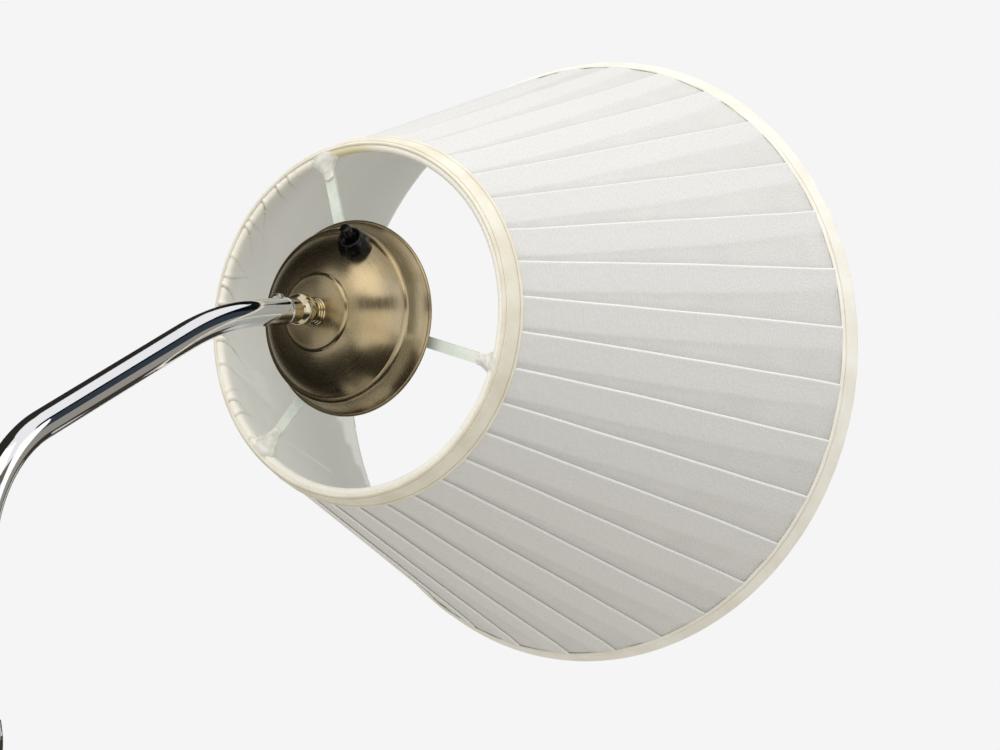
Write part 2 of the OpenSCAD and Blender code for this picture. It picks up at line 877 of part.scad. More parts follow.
module switch_lead_b() {
    color("steelblue") switch_lead(-1);
}

// ---- lampholder ----------------------------------------------------------

module holder_cap() {
    color("black")
        head()
            difference() {
                rotate_extrude()
                    polygon([[nipple_r + seat_gap, holder_neck_z], [holder_neck_r, holder_neck_z],
                        [holder_neck_r, holder_dome_z], [holder_r - 2, holder_skirt_z - 2],
                        [holder_r, holder_skirt_z], [holder_r, holder_joint_z],
                        [holder_r - holder_wall, holder_joint_z],
                        [holder_r - holder_wall, holder_skirt_z],
                        [holder_neck_r + 1, holder_dome_z + holder_wall + 1],
                        [nipple_r + seat_gap, holder_dome_z + holder_wall + 1]]);
                for (side = [-1, 1])
                    rotate([0, 0, switch_turn + side * 24])
                        translate([holder_r - 4, 0, holder_skirt_z + 2.5])
                            rotate([0, 90, 0]) cylinder(r = lead_r + 0.3, h = 6, $fn = 24);
            }
}

// Porcelain core that holds the contacts
module holder_core() {
    color("white")
        head()
            difference() {
                translate([0, 0, core_z]) cylinder(r = core_r - 0.6, h = core_h);
                translate([0, 0, core_z + core_h - 4]) cylinder(r = 8, h = 5);
                for (side = [-1, 1])
                    rotate([0, 0, switch_turn + 90])
                        translate([side * 8, 0, core_z - through])
                            cylinder(r = 1.5 + seat_gap, h = 6, $fn = 24);
                for (side = [-1, 1])
                    rotate([0, 0, switch_turn + side * 24])
                        translate([core_r - 4, 0, holder_skirt_z + 2.5])
                            rotate([0, 90, 0]) cylinder(r = lead_r + 0.3, h = 6, $fn = 24);
            }
}

module holder_screws() {
    color("gold")
        head()
            rotate([0, 0, switch_turn + 90])
                for (side = [-1, 1])
                    translate([side * 8, 0, core_z])
                        difference() {
                            union() {
                                translate([0, 0, -1.6]) cylinder(r = 2.6, h = 1.6, $fn = 32);
                                cylinder(r = 1.5, h = 4.8, $fn = 24);
                            }
                            translate([-3, -0.4, -1.6 - through]) cube([6, 0.8, through + 0.8]);
                        }
}

module holder_shell() {
    color("black")
        head()
            difference() {
                union() {
                    pipe(holder_r, holder_bore_r, socket_z + 0.2, holder_mouth_z);
                    pipe(holder_r, core_r, holder_joint_z + 0.1, socket_z + 1);
                    pipe(shoulder_r, core_wall_r, strip_z - seat_gap - shoulder_t, strip_z - seat_gap);
                    for (z = [ring_nut_z + 0.8:thread_pitch:holder_mouth_z - 6])
                        pipe(holder_thread_r, core_wall_r, z, z + thread_pitch / 2);
                }
                translate([0, 0, core_z + core_h - through]) cylinder(r = holder_bore_r, h = 2);
            }
}

// Threaded brass sleeve that takes the lamp's cap, held at its foot by the core
module contact_sleeve() {
    color("gold")
        head() {
            pipe(socket_r + socket_wall, socket_r, socket_z + 0.1, socket_z + socket_h);
            pipe(socket_r + eps, 9.5, socket_z + 0.1, socket_z + 0.9);
        }
}

module centre_contact() {
    color("gold")
        head() {
            translate([0, 0, socket_z - 4]) cylinder(r = 6, h = 0.8);
            translate([0, 0, socket_z - 3.3]) cylinder(r1 = 4.5, r2 = 2.5, h = 3.9);
        }
}

// Notched ring that clamps the spider against the lampholder's shoulder
module shade_ring_nut() {
    color("black")
        head()
            difference() {
                pipe(ring_nut_r, holder_thread_r + seat_gap, ring_nut_z + seat_gap,
                    ring_nut_z + ring_nut_h);
                for (i = [0:11])
                    rotate([0, 0, i * 30])
                        translate([ring_nut_r + 0.6, 0, ring_nut_z + 1.2])
                            cylinder(r = 1.5, h = ring_nut_h, $fn = 20);
            }
}

// ---- shade frame ---------------------------------------------------------

module shade_spider() {
    color("honeydew")
        head() {
            pipe(spider_hub_r, holder_r + run_gap, strip_z, strip_z + strip_t);
            for (turn = strip_turns)
                rotate([0, 0, turn])
                    translate([spider_hub_r - 1, -strip_w / 2, strip_z])
                        cube([strip_end_r - spider_hub_r + 1, strip_w, strip_t]);
        }
}

module wire_ring(z) {
    color("lightgray")
        head()
            rotate_extrude($fn = 128)
                translate([cone_r(z) - wire_in, z]) circle(r = wire_r, $fn = 24);
}

module shade_top_ring() {
    wire_ring(top_ring_z);
}

module shade_low_ring() {
    wire_ring(low_ring_z);
}

// A straight wire between the two rings, just short of both
module rib(i) {
    lean = atan(cone);
    first = top_ring_z + wire_r + 0.2;
    last = low_ring_z - wire_r - 0.2;
    color("lightgray")
        head()
            rotate([0, 0, strip_turns[0] + 30 + (i - 1) * 360 / ribs])
                translate([cone_r(first) - wire_in, 0, first])
                    rotate([0, lean, 0]) cylinder(r = wire_r, h = (last - first) / cos(lean), $fn = 24);
}

module rib_1() {
    rib(1);
}

module rib_2() {
    rib(2);
}

module rib_3() {
    rib(3);
}

module rib_4() {
    rib(4);
}

module rib_5() {
    rib(5);
}

module rib_6() {
    rib(6);
}

// ---- shade cloth ---------------------------------------------------------

// Outline of one pleat: angle as a part of the pitch, and depth below its fold.
// It is high where it lies over the layers under it and low beyond them.
function pleat_shape(lap) = [
    [0, 0],
    [lap, pleat_rise * 0.25],
    [lap + 0.06, pleat_rise * 0.8],
    [0.98, pleat_rise]
];
pleat_points = 4;
cover_low_z = shade_low_z - tape_t - layer_gap;
cover_top_z = shade_z + tape_t + layer_gap;

// One ring of the cover's points: its pleated outside, or its inside if depth is given
function pleat_ring(z, lap, depth = 0) =
    [for (i = [0:pleats - 1], p = pleat_shape(lap))
        let (turn = (i + p[0]) * 360 / pleats,
             r = cone_r(z) - cover_in - (depth > 0 ? depth : p[1]))
        [r * cos(turn), r * sin(turn), z]];

module shade_cover() {
    n = pleats * pleat_points;
    points = concat(
        pleat_ring(cover_top_z, pleat_lap_top), pleat_ring(cover_low_z, pleat_lap_low),
        pleat_ring(cover_top_z, pleat_lap_top, cover_t), pleat_ring(cover_low_z, pleat_lap_low, cover_t));
    faces = [for (i = [0:n - 1])
        let (j = (i + 1) % n)
        each [
            [i, n + i, n + j, j],
            [2 * n + i, 2 * n + j, 3 * n + j, 3 * n + i],
            [i, j, 2 * n + j, 2 * n + i],
            [n + i, 3 * n + i, 3 * n + j, n + j]
        ]];
    color("ivory") head() polyhedron(points, faces, convexity = 10);
}

module shade_lining() {
    top = lining_top_z;
    low = cover_low_z;
    color("white")
        head()
            rotate_extrude($fn = 128)
                polygon([
                    [cone_r(top) - lining_in, top], [cone_r(low) - lining_in, low],
                    [cone_r(low) - lining_in - lining_t, low],
                    [cone_r(top) - lining_in - lining_t, top]]);
}

// Tape folded over a ring: a wide outer leg and a short inner one
module binding(edge, inward, inner_leg) {
    face = edge + inward * tape_t;
    outer_end = edge + inward * tape_w;
    inner_end = edge + inward * inner_leg;
    color("cornsilk")
        head()
            rotate_extrude($fn = 128)
                polygon([
                    [cone_r(edge), edge], [cone_r(outer_end), outer_end],
                    [cone_r(outer_end) - tape_t, outer_end], [cone_r(face) - tape_t, face],
                    [cone_r(face) - cloth_in, face], [cone_r(inner_end) - cloth_in, inner_end],
                    [cone_r(inner_end) - cloth_in - tape_t, inner_end],
                    [cone_r(edge) - cloth_in - tape_t, edge]]);
}

module top_binding() {
    binding(shade_z, 1, strip_z - shade_z - 0.3);
}

module low_binding() {
    binding(shade_low_z, -1, 8);
}

// Folded cloth that sews the shade to the end of a spider strip
module arm_tab(i) {
    start = tab_end_r - tab_len;
    color("snow")
        head()
            rotate([0, 0, strip_turns[i - 1]])
                difference() {
                    intersection() {
                        translate([0, 0, strip_z - tab_t])
                            linear_extrude(strip_t + 2 * tab_t)
                                polygon([[start, -strip_w / 2 - 1.2], [tab_end_r, -strip_w / 2 - 4.5],
                                    [tab_end_r, strip_w / 2 + 4.5], [start, strip_w / 2 + 1.2]]);
                        cylinder(r = tab_end_r, h = shade_low_z);
                    }
                    translate([start - through, -strip_w / 2 - tab_gap, strip_z - tab_gap])
                        cube([tab_len + 2 * through, strip_w + 2 * tab_gap, strip_t + 2 * tab_gap]);
                }
}

module arm_tab_1() {
    arm_tab(1);
}

module arm_tab_2() {
    arm_tab(2);
}

module arm_tab_3() {
    arm_tab(3);
}

// ---- what is drawn -------------------------------------------------------

base_felt();
base_weight();
base_cover();
base_nipple();
base_washer();
base_nut();
cord_grommet();
pole_foot();
pole_plug();
pole_tube();
pole_collar();
clamp_knob();
clamp_screw();
stem_guide();
arm_tube();
swivel_lock_screw();
swivel_ball();
swivel_pin();
swivel_tongue();
neck_washer_small();
neck_washer_large();
neck_nut();
cap();
switch_body();
switch_bush();
switch_sleeve();
switch_button();
switch_lead_a();
switch_lead_b();
holder_cap();
holder_core();
holder_screws();
holder_shell();
contact_sleeve();
centre_contact();
shade_ring_nut();
shade_spider();
shade_top_ring();
shade_low_ring();
rib_1();
rib_2();
rib_3();
rib_4();
rib_5();
rib_6();
shade_cover();
shade_lining();
top_binding();
low_binding();
arm_tab_1();
arm_tab_2();
arm_tab_3();
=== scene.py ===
# %% [markdown]
# # Bridge floor lamp
#
# A bridge lamp has a weighted base, an upright pole and a bent arm that reaches out like a bridge. At
# its end a ball swivel carries a spun metal cap, the lampholder inside it, and a pleated cloth shade.
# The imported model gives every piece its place, in metres with Z up, so the first step is to load it
# and to read from its record where the swivel is and which way the head points.

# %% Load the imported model
import json
import math

import bmesh
import bpy
import numpy as np
from mathutils import Matrix, Vector


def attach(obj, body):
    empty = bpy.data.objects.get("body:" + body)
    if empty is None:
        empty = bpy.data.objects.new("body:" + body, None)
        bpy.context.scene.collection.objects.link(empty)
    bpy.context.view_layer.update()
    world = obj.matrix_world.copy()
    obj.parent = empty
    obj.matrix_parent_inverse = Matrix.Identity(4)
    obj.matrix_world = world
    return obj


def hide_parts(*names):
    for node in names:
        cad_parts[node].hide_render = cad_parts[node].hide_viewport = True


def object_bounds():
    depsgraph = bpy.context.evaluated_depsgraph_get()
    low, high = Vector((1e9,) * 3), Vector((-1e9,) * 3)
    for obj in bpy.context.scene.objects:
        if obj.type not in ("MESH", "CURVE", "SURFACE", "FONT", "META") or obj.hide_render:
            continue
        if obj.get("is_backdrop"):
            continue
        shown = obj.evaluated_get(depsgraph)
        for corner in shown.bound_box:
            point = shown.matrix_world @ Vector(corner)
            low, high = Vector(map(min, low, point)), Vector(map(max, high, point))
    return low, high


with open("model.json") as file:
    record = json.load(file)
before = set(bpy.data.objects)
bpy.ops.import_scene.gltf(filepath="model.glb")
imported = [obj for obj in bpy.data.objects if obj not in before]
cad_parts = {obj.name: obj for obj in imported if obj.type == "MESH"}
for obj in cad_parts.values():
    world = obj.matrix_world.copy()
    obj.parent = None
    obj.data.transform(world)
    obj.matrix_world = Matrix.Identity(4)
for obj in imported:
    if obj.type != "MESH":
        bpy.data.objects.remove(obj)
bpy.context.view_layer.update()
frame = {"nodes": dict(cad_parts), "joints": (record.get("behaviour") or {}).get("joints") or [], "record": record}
nodes = frame["nodes"]
joints = {joint["name"]: joint for joint in frame["joints"]}
mounts = {mount["name"]: mount for mount in frame["record"]["mounts"]}

# %% [markdown]
# ## The head's own axes
#
# The shade and the cap are round about one axis that leans 5 degrees, so they are easiest to draw in
# turned coordinates: an angle around the axis, a radius and a height, all from the swivel ball. The
# same kind of coordinates serves the switch later on, round its own leaning axis.

# %% Axes of the head and the arm's end
MM = 0.001
BALL = np.array(joints["head_tilt"]["pos_m"])
HEAD_AXIS = np.array(mounts["lamp_socket"]["axis"])
HEAD_AXIS /= np.linalg.norm(HEAD_AXIS)
ARM_AXIS = np.array(joints["head_roll"]["axis"])
ARM_AXIS /= np.linalg.norm(ARM_AXIS)
SIDE = np.array([0.0, 1.0, 0.0])


def placer(origin, axis, side=SIDE):
    """Returns place(turn, radius, height): origin + radius (cos turn x + sin turn side) + height axis,
    with x at right angles to both. Angles in degrees and lengths in mm go in, metres come out."""
    first = np.cross(side, axis)
    first /= np.linalg.norm(first)

    def place(turn, radius, height):
        turn, radius, height = np.broadcast_arrays(np.radians(turn), radius, height)
        flat = np.cos(turn)[..., None] * first + np.sin(turn)[..., None] * side
        return origin + MM * (radius[..., None] * flat + height[..., None] * axis)

    return place


on_head = placer(BALL, HEAD_AXIS)
print("ball", BALL, "head axis", HEAD_AXIS.round(4))

# %% [markdown]
# ## The camera
#
# The picture is a close view of the head from the side of the arm, taken with a long lens and held
# level. The lens and the place were solved from the two rings of the shade, which are circles of known
# size: each circle shows as an ellipse, and the two ellipses leave one camera that fits.

# %% Camera
VIEW_YAW = math.radians(33.18)
forward = np.array([math.cos(VIEW_YAW), math.sin(VIEW_YAW), 0.0])
right = np.array([math.sin(VIEW_YAW), -math.cos(VIEW_YAW), 0.0])
down = np.array([0.0, 0.0, -1.0])
eye = BALL - MM * (-102.7 * right - 33.7 * down + 1515.5 * forward)

lens = bpy.data.cameras.new("view")
lens.lens = 106.2
lens.sensor_width = 36.0
lens.clip_start, lens.clip_end = 0.05, 100.0
camera = bpy.data.objects.new("view", lens)
camera.matrix_world = Matrix([(right[i], -down[i], -forward[i], eye[i]) for i in range(3)] + [(0, 0, 0, 1)])
bpy.context.scene.collection.objects.link(camera)
bpy.context.scene.camera = camera
print("camera at", eye.round(4))

# %% [markdown]
# ## Helpers for finishes
#
# A finish is a small graph of shader nodes. One function adds a node, sets it and links it. The others
# draw a whole pattern each, such as clouds of colour or a fine grain, with its scale given in mm.

# %% Colours and shader nodes
def linear(swatch):
    """sRGB hex to linear RGBA: c/12.92 below 0.04045, else ((c + 0.055)/1.055)^2.4."""
    parts = [int(swatch[i:i + 2], 16) / 255 for i in (1, 3, 5)]
    return (*[c / 12.92 if c <= 0.04045 else ((c + 0.055) / 1.055) ** 2.4 for c in parts], 1.0)


def add(tree, kind, inputs=None, stops=(), out=0, **settings):
    """Adds one shader node: its settings, then its colour stops, then each input by name or number,
    linked where the value is a socket. A swatch becomes linear. Gives back the output called out."""
    node = tree.nodes.new(kind)
    for key, value in settings.items():
        setattr(node, key, value)
    if stops:
        band = node.color_ramp.elements
        while len(band) < len(stops):
            band.new(1.0)
        for spot, (at, colour) in zip(band, stops):
            spot.position = at
            spot.color = linear(colour) if isinstance(colour, str) else (colour, colour, colour, 1)
    for key, value in (inputs or {}).items():
        if isinstance(value, bpy.types.NodeSocket):
            tree.links.new(value, node.inputs[key])
        else:
            node.inputs[key].default_value = linear(value) if isinstance(value, str) else value
    return node.outputs[out] if len(node.outputs) else node


def made_of(name, look, **plain):
    """A material: look(tree) draws the patterns and gives back the sockets that they drive, and the
    plain values are set on the shader's own sockets."""
    material = bpy.data.materials.new(name)
    material.use_nodes = True
    tree = material.node_tree
    tree.nodes.clear()
    values = {key.replace("_", " "): value for key, value in plain.items()}
    shader = add(tree, "ShaderNodeBsdfPrincipled", {**values, **look(tree)}, out="BSDF")
    add(tree, "ShaderNodeOutputMaterial", {"Surface": shader})
    return material


# %% Patterns
def spot_on(tree, stretch=(1, 1, 1), follow=False):
    """Where a pattern is read, in metres: the piece's Object coordinates, or where follow is true its own
    cloth coordinates, along the circle or weft in x and across in y."""
    where = (add(tree, "ShaderNodeUVMap", uv_map="cloth") if follow else
             add(tree, "ShaderNodeTexCoord", out="Object"))
    return add(tree, "ShaderNodeMapping", {"Vector": where, "Scale": stretch})


def clouds(tree, where, size_mm, low, high, detail=3.0, spread=(0.35, 0.65)):
    """Soft blotches about size_mm across that run from low to high: noise, then a ramp of two stops."""
    drift = add(tree, "ShaderNodeTexNoise", {"Vector": where, "Scale": 1 / (size_mm * MM), "Detail": detail})
    return add(tree, "ShaderNodeValToRGB", {"Fac": drift}, stops=((spread[0], low), (spread[1], high)))


def tooth(tree, where, size_mm, depth_mm, detail=2.0):
    """Fine bumps about size_mm across and depth_mm high: noise that drives a bump."""
    dust = add(tree, "ShaderNodeTexNoise", {"Vector": where, "Scale": 1 / (size_mm * MM), "Detail": detail})
    return add(tree, "ShaderNodeBump", {"Height": dust, "Distance": depth_mm * MM})


def weathered(first, second, size_mm, rough, grain_mm, depth_mm):
    """The look of most hardware: two near colours in soft clouds of size_mm, a roughness that drifts
    between two values, and a surface grain of grain_mm."""
    def look(tree):
        where = spot_on(tree)
        return {"Base Color": clouds(tree, where, size_mm, first, second),
                "Roughness": clouds(tree, where, size_mm * 0.6, *rough),
                "Normal": tooth(tree, where, grain_mm, depth_mm)}
    return look


# %% [markdown]
# ## Helpers for surfaces
#
# Every new piece is a grid of points worked out by a formula. The grid becomes four-sided faces, and its
# own flat coordinates are kept with it, so that a weave or a brushed grain follows the piece.

# %% Surfaces from grids
def surface(name, points, body, around=False, flip=False, uv=None, marks=None, slot=None):
    """A mesh from points[row, column]: each face joins (r, c), (r, c+1), (r+1, c+1), (r+1, c). around
    joins the last column to the first. uv is a grid in metres with one more column where the mesh is
    joined. marks are named numbers for each point."""
    rows, columns = points.shape[:2]
    r = np.arange(rows - 1)[:, None]
    c = np.arange(columns if around else columns - 1)[None, :]
    r, c = np.broadcast_arrays(r, c)
    corners = [(r, c), (r, c + 1), (r + 1, c + 1), (r + 1, c)]
    if flip:
        corners = corners[::-1]
    quads = np.stack([a * columns + b % columns for a, b in corners], -1).reshape(-1, 4)
    mesh = bpy.data.meshes.new(name)
    mesh.from_pydata(points.reshape(-1, 3).tolist(), [], quads.tolist())
    if uv is not None:
        spots = np.stack([uv[a, b] for a, b in corners], -2).reshape(-1, 2)
        mesh.uv_layers.new(name="cloth").data.foreach_set("uv", spots.astype(np.float32).ravel())
    for key, values in (marks or {}).items():
        layer = mesh.attributes.new(key, "FLOAT", "POINT")
        layer.data.foreach_set("value", np.broadcast_to(values, (rows, columns)).astype(np.float32).ravel())
    mesh.shade_smooth()
    piece = bpy.data.objects.new(name, mesh)
    bpy.context.scene.collection.objects.link(piece)
    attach(piece, body)
    return piece


def mended(piece, crease_deg=None):
    """Closes the poles and seams of a shut surface and turns its faces outwards. Edges sharper than
    crease_deg stay sharp."""
    work = bmesh.new()
    work.from_mesh(piece.data)
    bmesh.ops.remove_doubles(work, verts=work.verts, dist=2e-6)
    bmesh.ops.recalc_face_normals(work, faces=work.faces)
    work.to_mesh(piece.data)
    work.free()
    if crease_deg:
        piece.data.set_sharp_from_angle(angle=math.radians(crease_deg))
    return piece


def run_along(path):
    """The length from the path's start to each of its points."""
    return np.concatenate([[0], np.cumsum(np.linalg.norm(np.diff(path, axis=0), axis=-1))])


def spread_uv(columns, girth, along):
    """Cloth coordinates in metres: an even share of the girth in x, and along in y."""
    return np.stack(np.broadcast_arrays(np.linspace(0, girth, columns + 1)[None, :], along[:, None]), -1)


# %% Profiles
def arc(centre, radius, start, end, count=8):
    """Points of a circular arc, angles in degrees from the radius axis."""
    a = np.radians(np.linspace(start, end, count))
    return np.stack([centre[0] + radius * np.cos(a), centre[1] + radius * np.sin(a)], 1)


def bow(a, b, sag, count=16):
    """Points of a shallow circular arc from a to b. Its middle stands sag to the left of the way."""
    a, b = np.array(a, float), np.array(b, float)
    chord = np.linalg.norm(b - a)
    radius = (chord ** 2 / 4 + sag ** 2) / (2 * abs(sag))
    left = np.array([a[1] - b[1], b[0] - a[0]]) / chord
    centre = (a + b) / 2 - left * np.sign(sag) * (radius - abs(sag))
    start = math.atan2(*(a - centre)[::-1])
    end = math.atan2(*(b - centre)[::-1])
    end = start + (end - start + math.pi) % (2 * math.pi) - math.pi
    t = np.linspace(start, end, count)
    return centre + radius * np.stack([np.cos(t), np.sin(t)], 1)


def beside(path, gap):
    """The path moved gap to its left, square to its mean direction at each point."""
    way = np.gradient(path, axis=0)
    way /= np.linalg.norm(way, axis=1)[:, None]
    return path + gap * np.stack([-way[:, 1], way[:, 0]], 1)


def spun(name, profile, place, body, count=192, slot=None, crease_deg=None):
    """Turns a closed profile of (radius, height) once round an axis, as a spinner forms metal over a
    chuck. The cloth coordinates run along the circle in x and along the profile in y."""
    profile = np.vstack([profile, profile[:1]])
    turn = np.arange(count)[None, :] * 360 / count
    points = place(turn, profile[:, :1], profile[:, 1:])
    uv = spread_uv(count, 2 * math.pi * profile[:, 0].max() * MM, run_along(profile) * MM)
    return mended(surface(name, points, body, around=True, uv=uv, slot=slot), crease_deg)


print("helpers for closed skins:", [f.__name__ for f in (surface, mended, spun)])

# %% [markdown]
# ## Sizes of the shade
#
# The cloth lies on a cone: its radius grows from the small ring at the cap to the large ring. The same
# numbers as in the model's source set the rings, so the new cloth sits where the plain solids are.

# %% The cone of the shade
RING_TOP, RING_LOW = 95.0, 178.0
Z_TOP, Z_LOW = 48.3, 282.3
CONE = (RING_LOW - RING_TOP) / (Z_LOW - Z_TOP)
SLANT = math.hypot(1, CONE)
PLEATS = 33
STRIP_Z = 50.4
STRIP_TURNS = (163.0, 39.5, -75.0)


def cone(z):
    """Radius of the outside of the shade at height z, in mm."""
    return RING_TOP + (np.asarray(z, float) - Z_TOP) * CONE


def wander(x, seed, waves=5):
    """A smooth wavy number between about -1 and 1 that repeats when x has grown by 1."""
    dice = np.random.default_rng(seed)
    size = dice.normal(size=waves) / np.sqrt(np.arange(1, waves + 1))
    start = dice.uniform(0, 2 * math.pi, waves)
    count = np.arange(1, waves + 1)
    total = (size * np.sin(2 * math.pi * count * np.asarray(x, float)[..., None] + start)).sum(-1)
    return total / np.abs(size).sum()


def smooth(x, low, high):
    """0 below low, 1 above high, and an even S between: 3 s^2 - 2 s^3."""
    s = np.clip((x - low) / (high - low), 0, 1)
    return s * s * (3 - 2 * s)


print("slant height", round((Z_LOW - Z_TOP) * SLANT, 1), "mm")

# %% [markdown]
# ## The knife-pleated cover
#
# One long strip of thin cloth is laid in 33 knife pleats and sewn to both rings. Each pleat doubles
# back under its neighbour, so there are three layers beside every fold and one layer beyond. The real
# sheet with its folds is drawn here as one grid, along the cloth in columns and down the cone in rows,
# hidden layers included. The folds drift a little round the cone, as hand-laid pleats do.

# %% Folds down the cone
rows_down = 64
t = np.linspace(0, 1, rows_down)[:, None]
cover_top, cover_end = Z_TOP + 1.6, Z_LOW - 1.6
z_down = cover_top + (cover_end - cover_top) * t
number = np.arange(PLEATS)[None, :]
drift_top = 0.08 + 0.045 * wander(number / PLEATS * 7, 3)
drift_low = 0.07 + 0.16 * np.cos(2 * math.pi * (number - 25) / 16.5) + 0.05 * wander(number / PLEATS * 5, 8)
edge_wave = 0.012 * wander(t * 0.8 + number * 0.37, 5)
fold_at = number + drift_top + (drift_low - drift_top) * t + edge_wave
pitch = 2 * math.pi * cone(z_down) / PLEATS
width = np.roll(fold_at, -1, axis=1) + np.where(number == PLEATS - 1, PLEATS, 0) - fold_at
lap = np.minimum(0.90 - 0.50 * t + 0.02 * wander(t * 0.6 + number * 0.29, 17), width - 0.06)
print("pleats", PLEATS, "each", round(float(pitch[0, 0]), 1), "to", round(float(pitch[-1, 0]), 1), "mm")

# %% Layers of each pleat
near_fold = np.array([0.0, 0.12, 0.3, 0.55, 0.9, 1.5])
on_layers = np.array([0.13, 0.22, 0.34, 0.46, 0.58, 0.70, 0.82, 0.92, 1.0])
beyond = np.array([0.06, 0.14, 0.25, 0.40, 0.55, 0.70, 0.85, 0.96, 1.0])
hidden = np.array([0.3, 0.7, 1.0])
coming_back = np.array([0.97, 0.6, 0.25, 0.02])
W, L, P = width[..., None], lap[..., None], pitch[..., None]
outer = np.concatenate([near_fold / P + 0 * W, on_layers * L, L + beyond * (W - L)], 2)
outer_mm = outer * P
past_lap = np.maximum(outer - L, 0) * P
# Height over the cloth's base, in mm: up from the fold's edge, slowly down over the layers, then a step.
puffed = 0.45 * smooth(outer_mm, 0, 1.0) * np.exp(-np.maximum(outer_mm - 1.6, 0) / 3.5)
outer_rise = 0.75 + 0.55 * smooth(outer_mm, 0, 0.55) + puffed - 0.68 * np.clip(outer / L, 0, 1) \
    - 0.42 * (1 - np.exp(-past_lap / 1.1))
to_low = (cover_end - z_down)[..., None]
uneven = 0.4 + 0.6 * np.sin(number * 2.4)[..., None] ** 2
pull = 0.55 * np.exp(-((outer - L) * P / 1.4) ** 2) * np.exp(-to_low / 26) * uneven
outer_rise = outer_rise - pull
under = W + hidden * (L - 0.04)
back = W + coming_back * (L - 0.04)
place = np.concatenate([outer, under, back], 2)
lift = np.concatenate([outer_rise, -0.3 + 0 * under, 0.35 - 0.45 * coming_back + 0 * back], 2)
layers = np.concatenate([1 - smooth(outer, L - 0.05, L + 0.09), 0 * under, 1 + 0 * back], 2)
# Painted highlight on the first millimetre from each fold's edge, and painted shadow over the last 4.5 mm before
# the next fold.
fold_highlight = np.concatenate([np.exp(-(outer_mm / 1.0) ** 4), 0 * under, 0 * back], 2)
shadow = np.concatenate([smooth((outer - W) * P, -4.5, 0), 1 + 0 * under, 1 + 0 * back], 2)
fold_highlight[..., -1] = 0.5
print("columns per pleat:", place.shape[2], "highest", outer_rise.max().round(2), "mm")

# %% The cloth as one sheet
turn_of = ((fold_at[..., None] + place) * 360 / PLEATS).reshape(rows_down, -1)
z_grid = np.broadcast_to(z_down, turn_of.shape)
from_end = np.minimum(z_grid - cover_top, cover_end - z_grid)
around_part = turn_of / 360
puff = 0.35 * np.sin(math.pi * t) * wander(around_part * 3 + 0.2 * t, 11, 7)
near_ring = np.exp(-np.maximum(from_end - 9, 0) / 13)
gathers = 0.34 * near_ring * wander(around_part * 13 + 0.004 * from_end, 12, 9)
settle = 1 - 0.55 * np.exp(-(from_end / 8) ** 2)
base_gap = 2.35 - 1.2 * np.exp(-(from_end / 13) ** 2)
cloth_r = cone(z_grid) - base_gap + lift.reshape(rows_down, -1) * settle + puff + gathers
points = on_head(turn_of, cloth_r, z_grid)
step = np.linalg.norm(np.diff(np.concatenate([points, points[:, :1]], 1), axis=1), axis=2)
along_cloth = np.concatenate([np.zeros((rows_down, 1)), np.cumsum(step, 1)], 1)
cut_length = (cover_end - cover_top) * MM * SLANT
uv = np.stack([along_cloth, np.broadcast_to(t * cut_length, along_cloth.shape)], -1)
cover = surface("cover_cloth", points, "head", around=True, flip=True, uv=uv, slot="cover_cloth",
                marks={"layers": layers.reshape(rows_down, -1), "fold_highlight": fold_highlight.reshape(rows_down, -1),
                       "shadow": shadow.reshape(rows_down, -1)})
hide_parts("shade_cover")

# %% [markdown]
# ## The lining
#
# A plain white lining is stretched inside the frame and pulled over the wire of each ring, where it
# shows as a soft roll. It is one sheet: it starts outside the small ring, goes round its wire, runs down
# inside the ribs and round the large ring. Sharp little tucks cross the roll where the sewer took up
# the fullness, and each one runs a short way down the cloth as a crease.

# %% Tucks round the ring
columns = 1080
turns = np.arange(columns) * 360 / columns
dice = np.random.default_rng(21)
TUCKS = 54
tuck_at = (np.arange(TUCKS) + dice.uniform(-0.42, 0.42, TUCKS)) * 360 / TUCKS
tuck_power = dice.uniform(0.4, 1.6, TUCKS) * (0.12 + 0.88 * np.exp(-((tuck_at - 100) / 52) ** 4))
tuck_reach = dice.uniform(9, 26, TUCKS)
tuck_lean = dice.uniform(-0.9, 0.3, TUCKS)


def creases(turn, z, radius):
    """Height of the tucks in mm: for each a groove 1.4 mm wide with a ridge on one side, which leans by
    its own share and dies away with the distance from the ring."""
    total = np.zeros(np.broadcast(turn, z).shape)
    for at, power, reach, lean in zip(tuck_at, tuck_power, tuck_reach, tuck_lean):
        off = ((turn - at + 180) % 360 - 180) * math.pi / 180 * radius - lean * (z - 50)
        fade = np.exp(-np.maximum(z - 51, 0) / reach)
        total += power * fade * (0.40 * np.exp(-((off - 1.5) / 0.9) ** 2) - 0.55 * np.exp(-(off / 0.7) ** 2))
    return total


print("tucks", TUCKS, "strongest", round(float(tuck_power.max()), 2))

# %% Wrinkles and double layers
SEAMS = (((74.5, 52.0), (67.7, 120.7), 1.0), ((74.7, 77.7), (76.4, 112.0), 0.7),
         ((57.1, 111.4), (58.2, 199.0), 1.0), ((76.1, 246.5), (60.0, 281.0), 0.8))


def beside_line(turn, z, start, end):
    """Signed distance in mm from a line between two (turn, z) points on the lining, and how far along it
    as a share of its length."""
    radius = cone(z) - 7
    x, y = turn * math.pi / 180 * radius, z * SLANT
    ax, ay = start[0] * math.pi / 180 * (cone(start[1]) - 7), start[1] * SLANT
    bx, by = end[0] * math.pi / 180 * (cone(end[1]) - 7), end[1] * SLANT
    length = math.hypot(bx - ax, by - ay)
    ux, uy = (bx - ax) / length, (by - ay) / length
    return (x - ax) * uy - (y - ay) * ux, ((x - ax) * ux + (y - ay) * uy) / length


print("seams and wrinkles:", len(SEAMS))

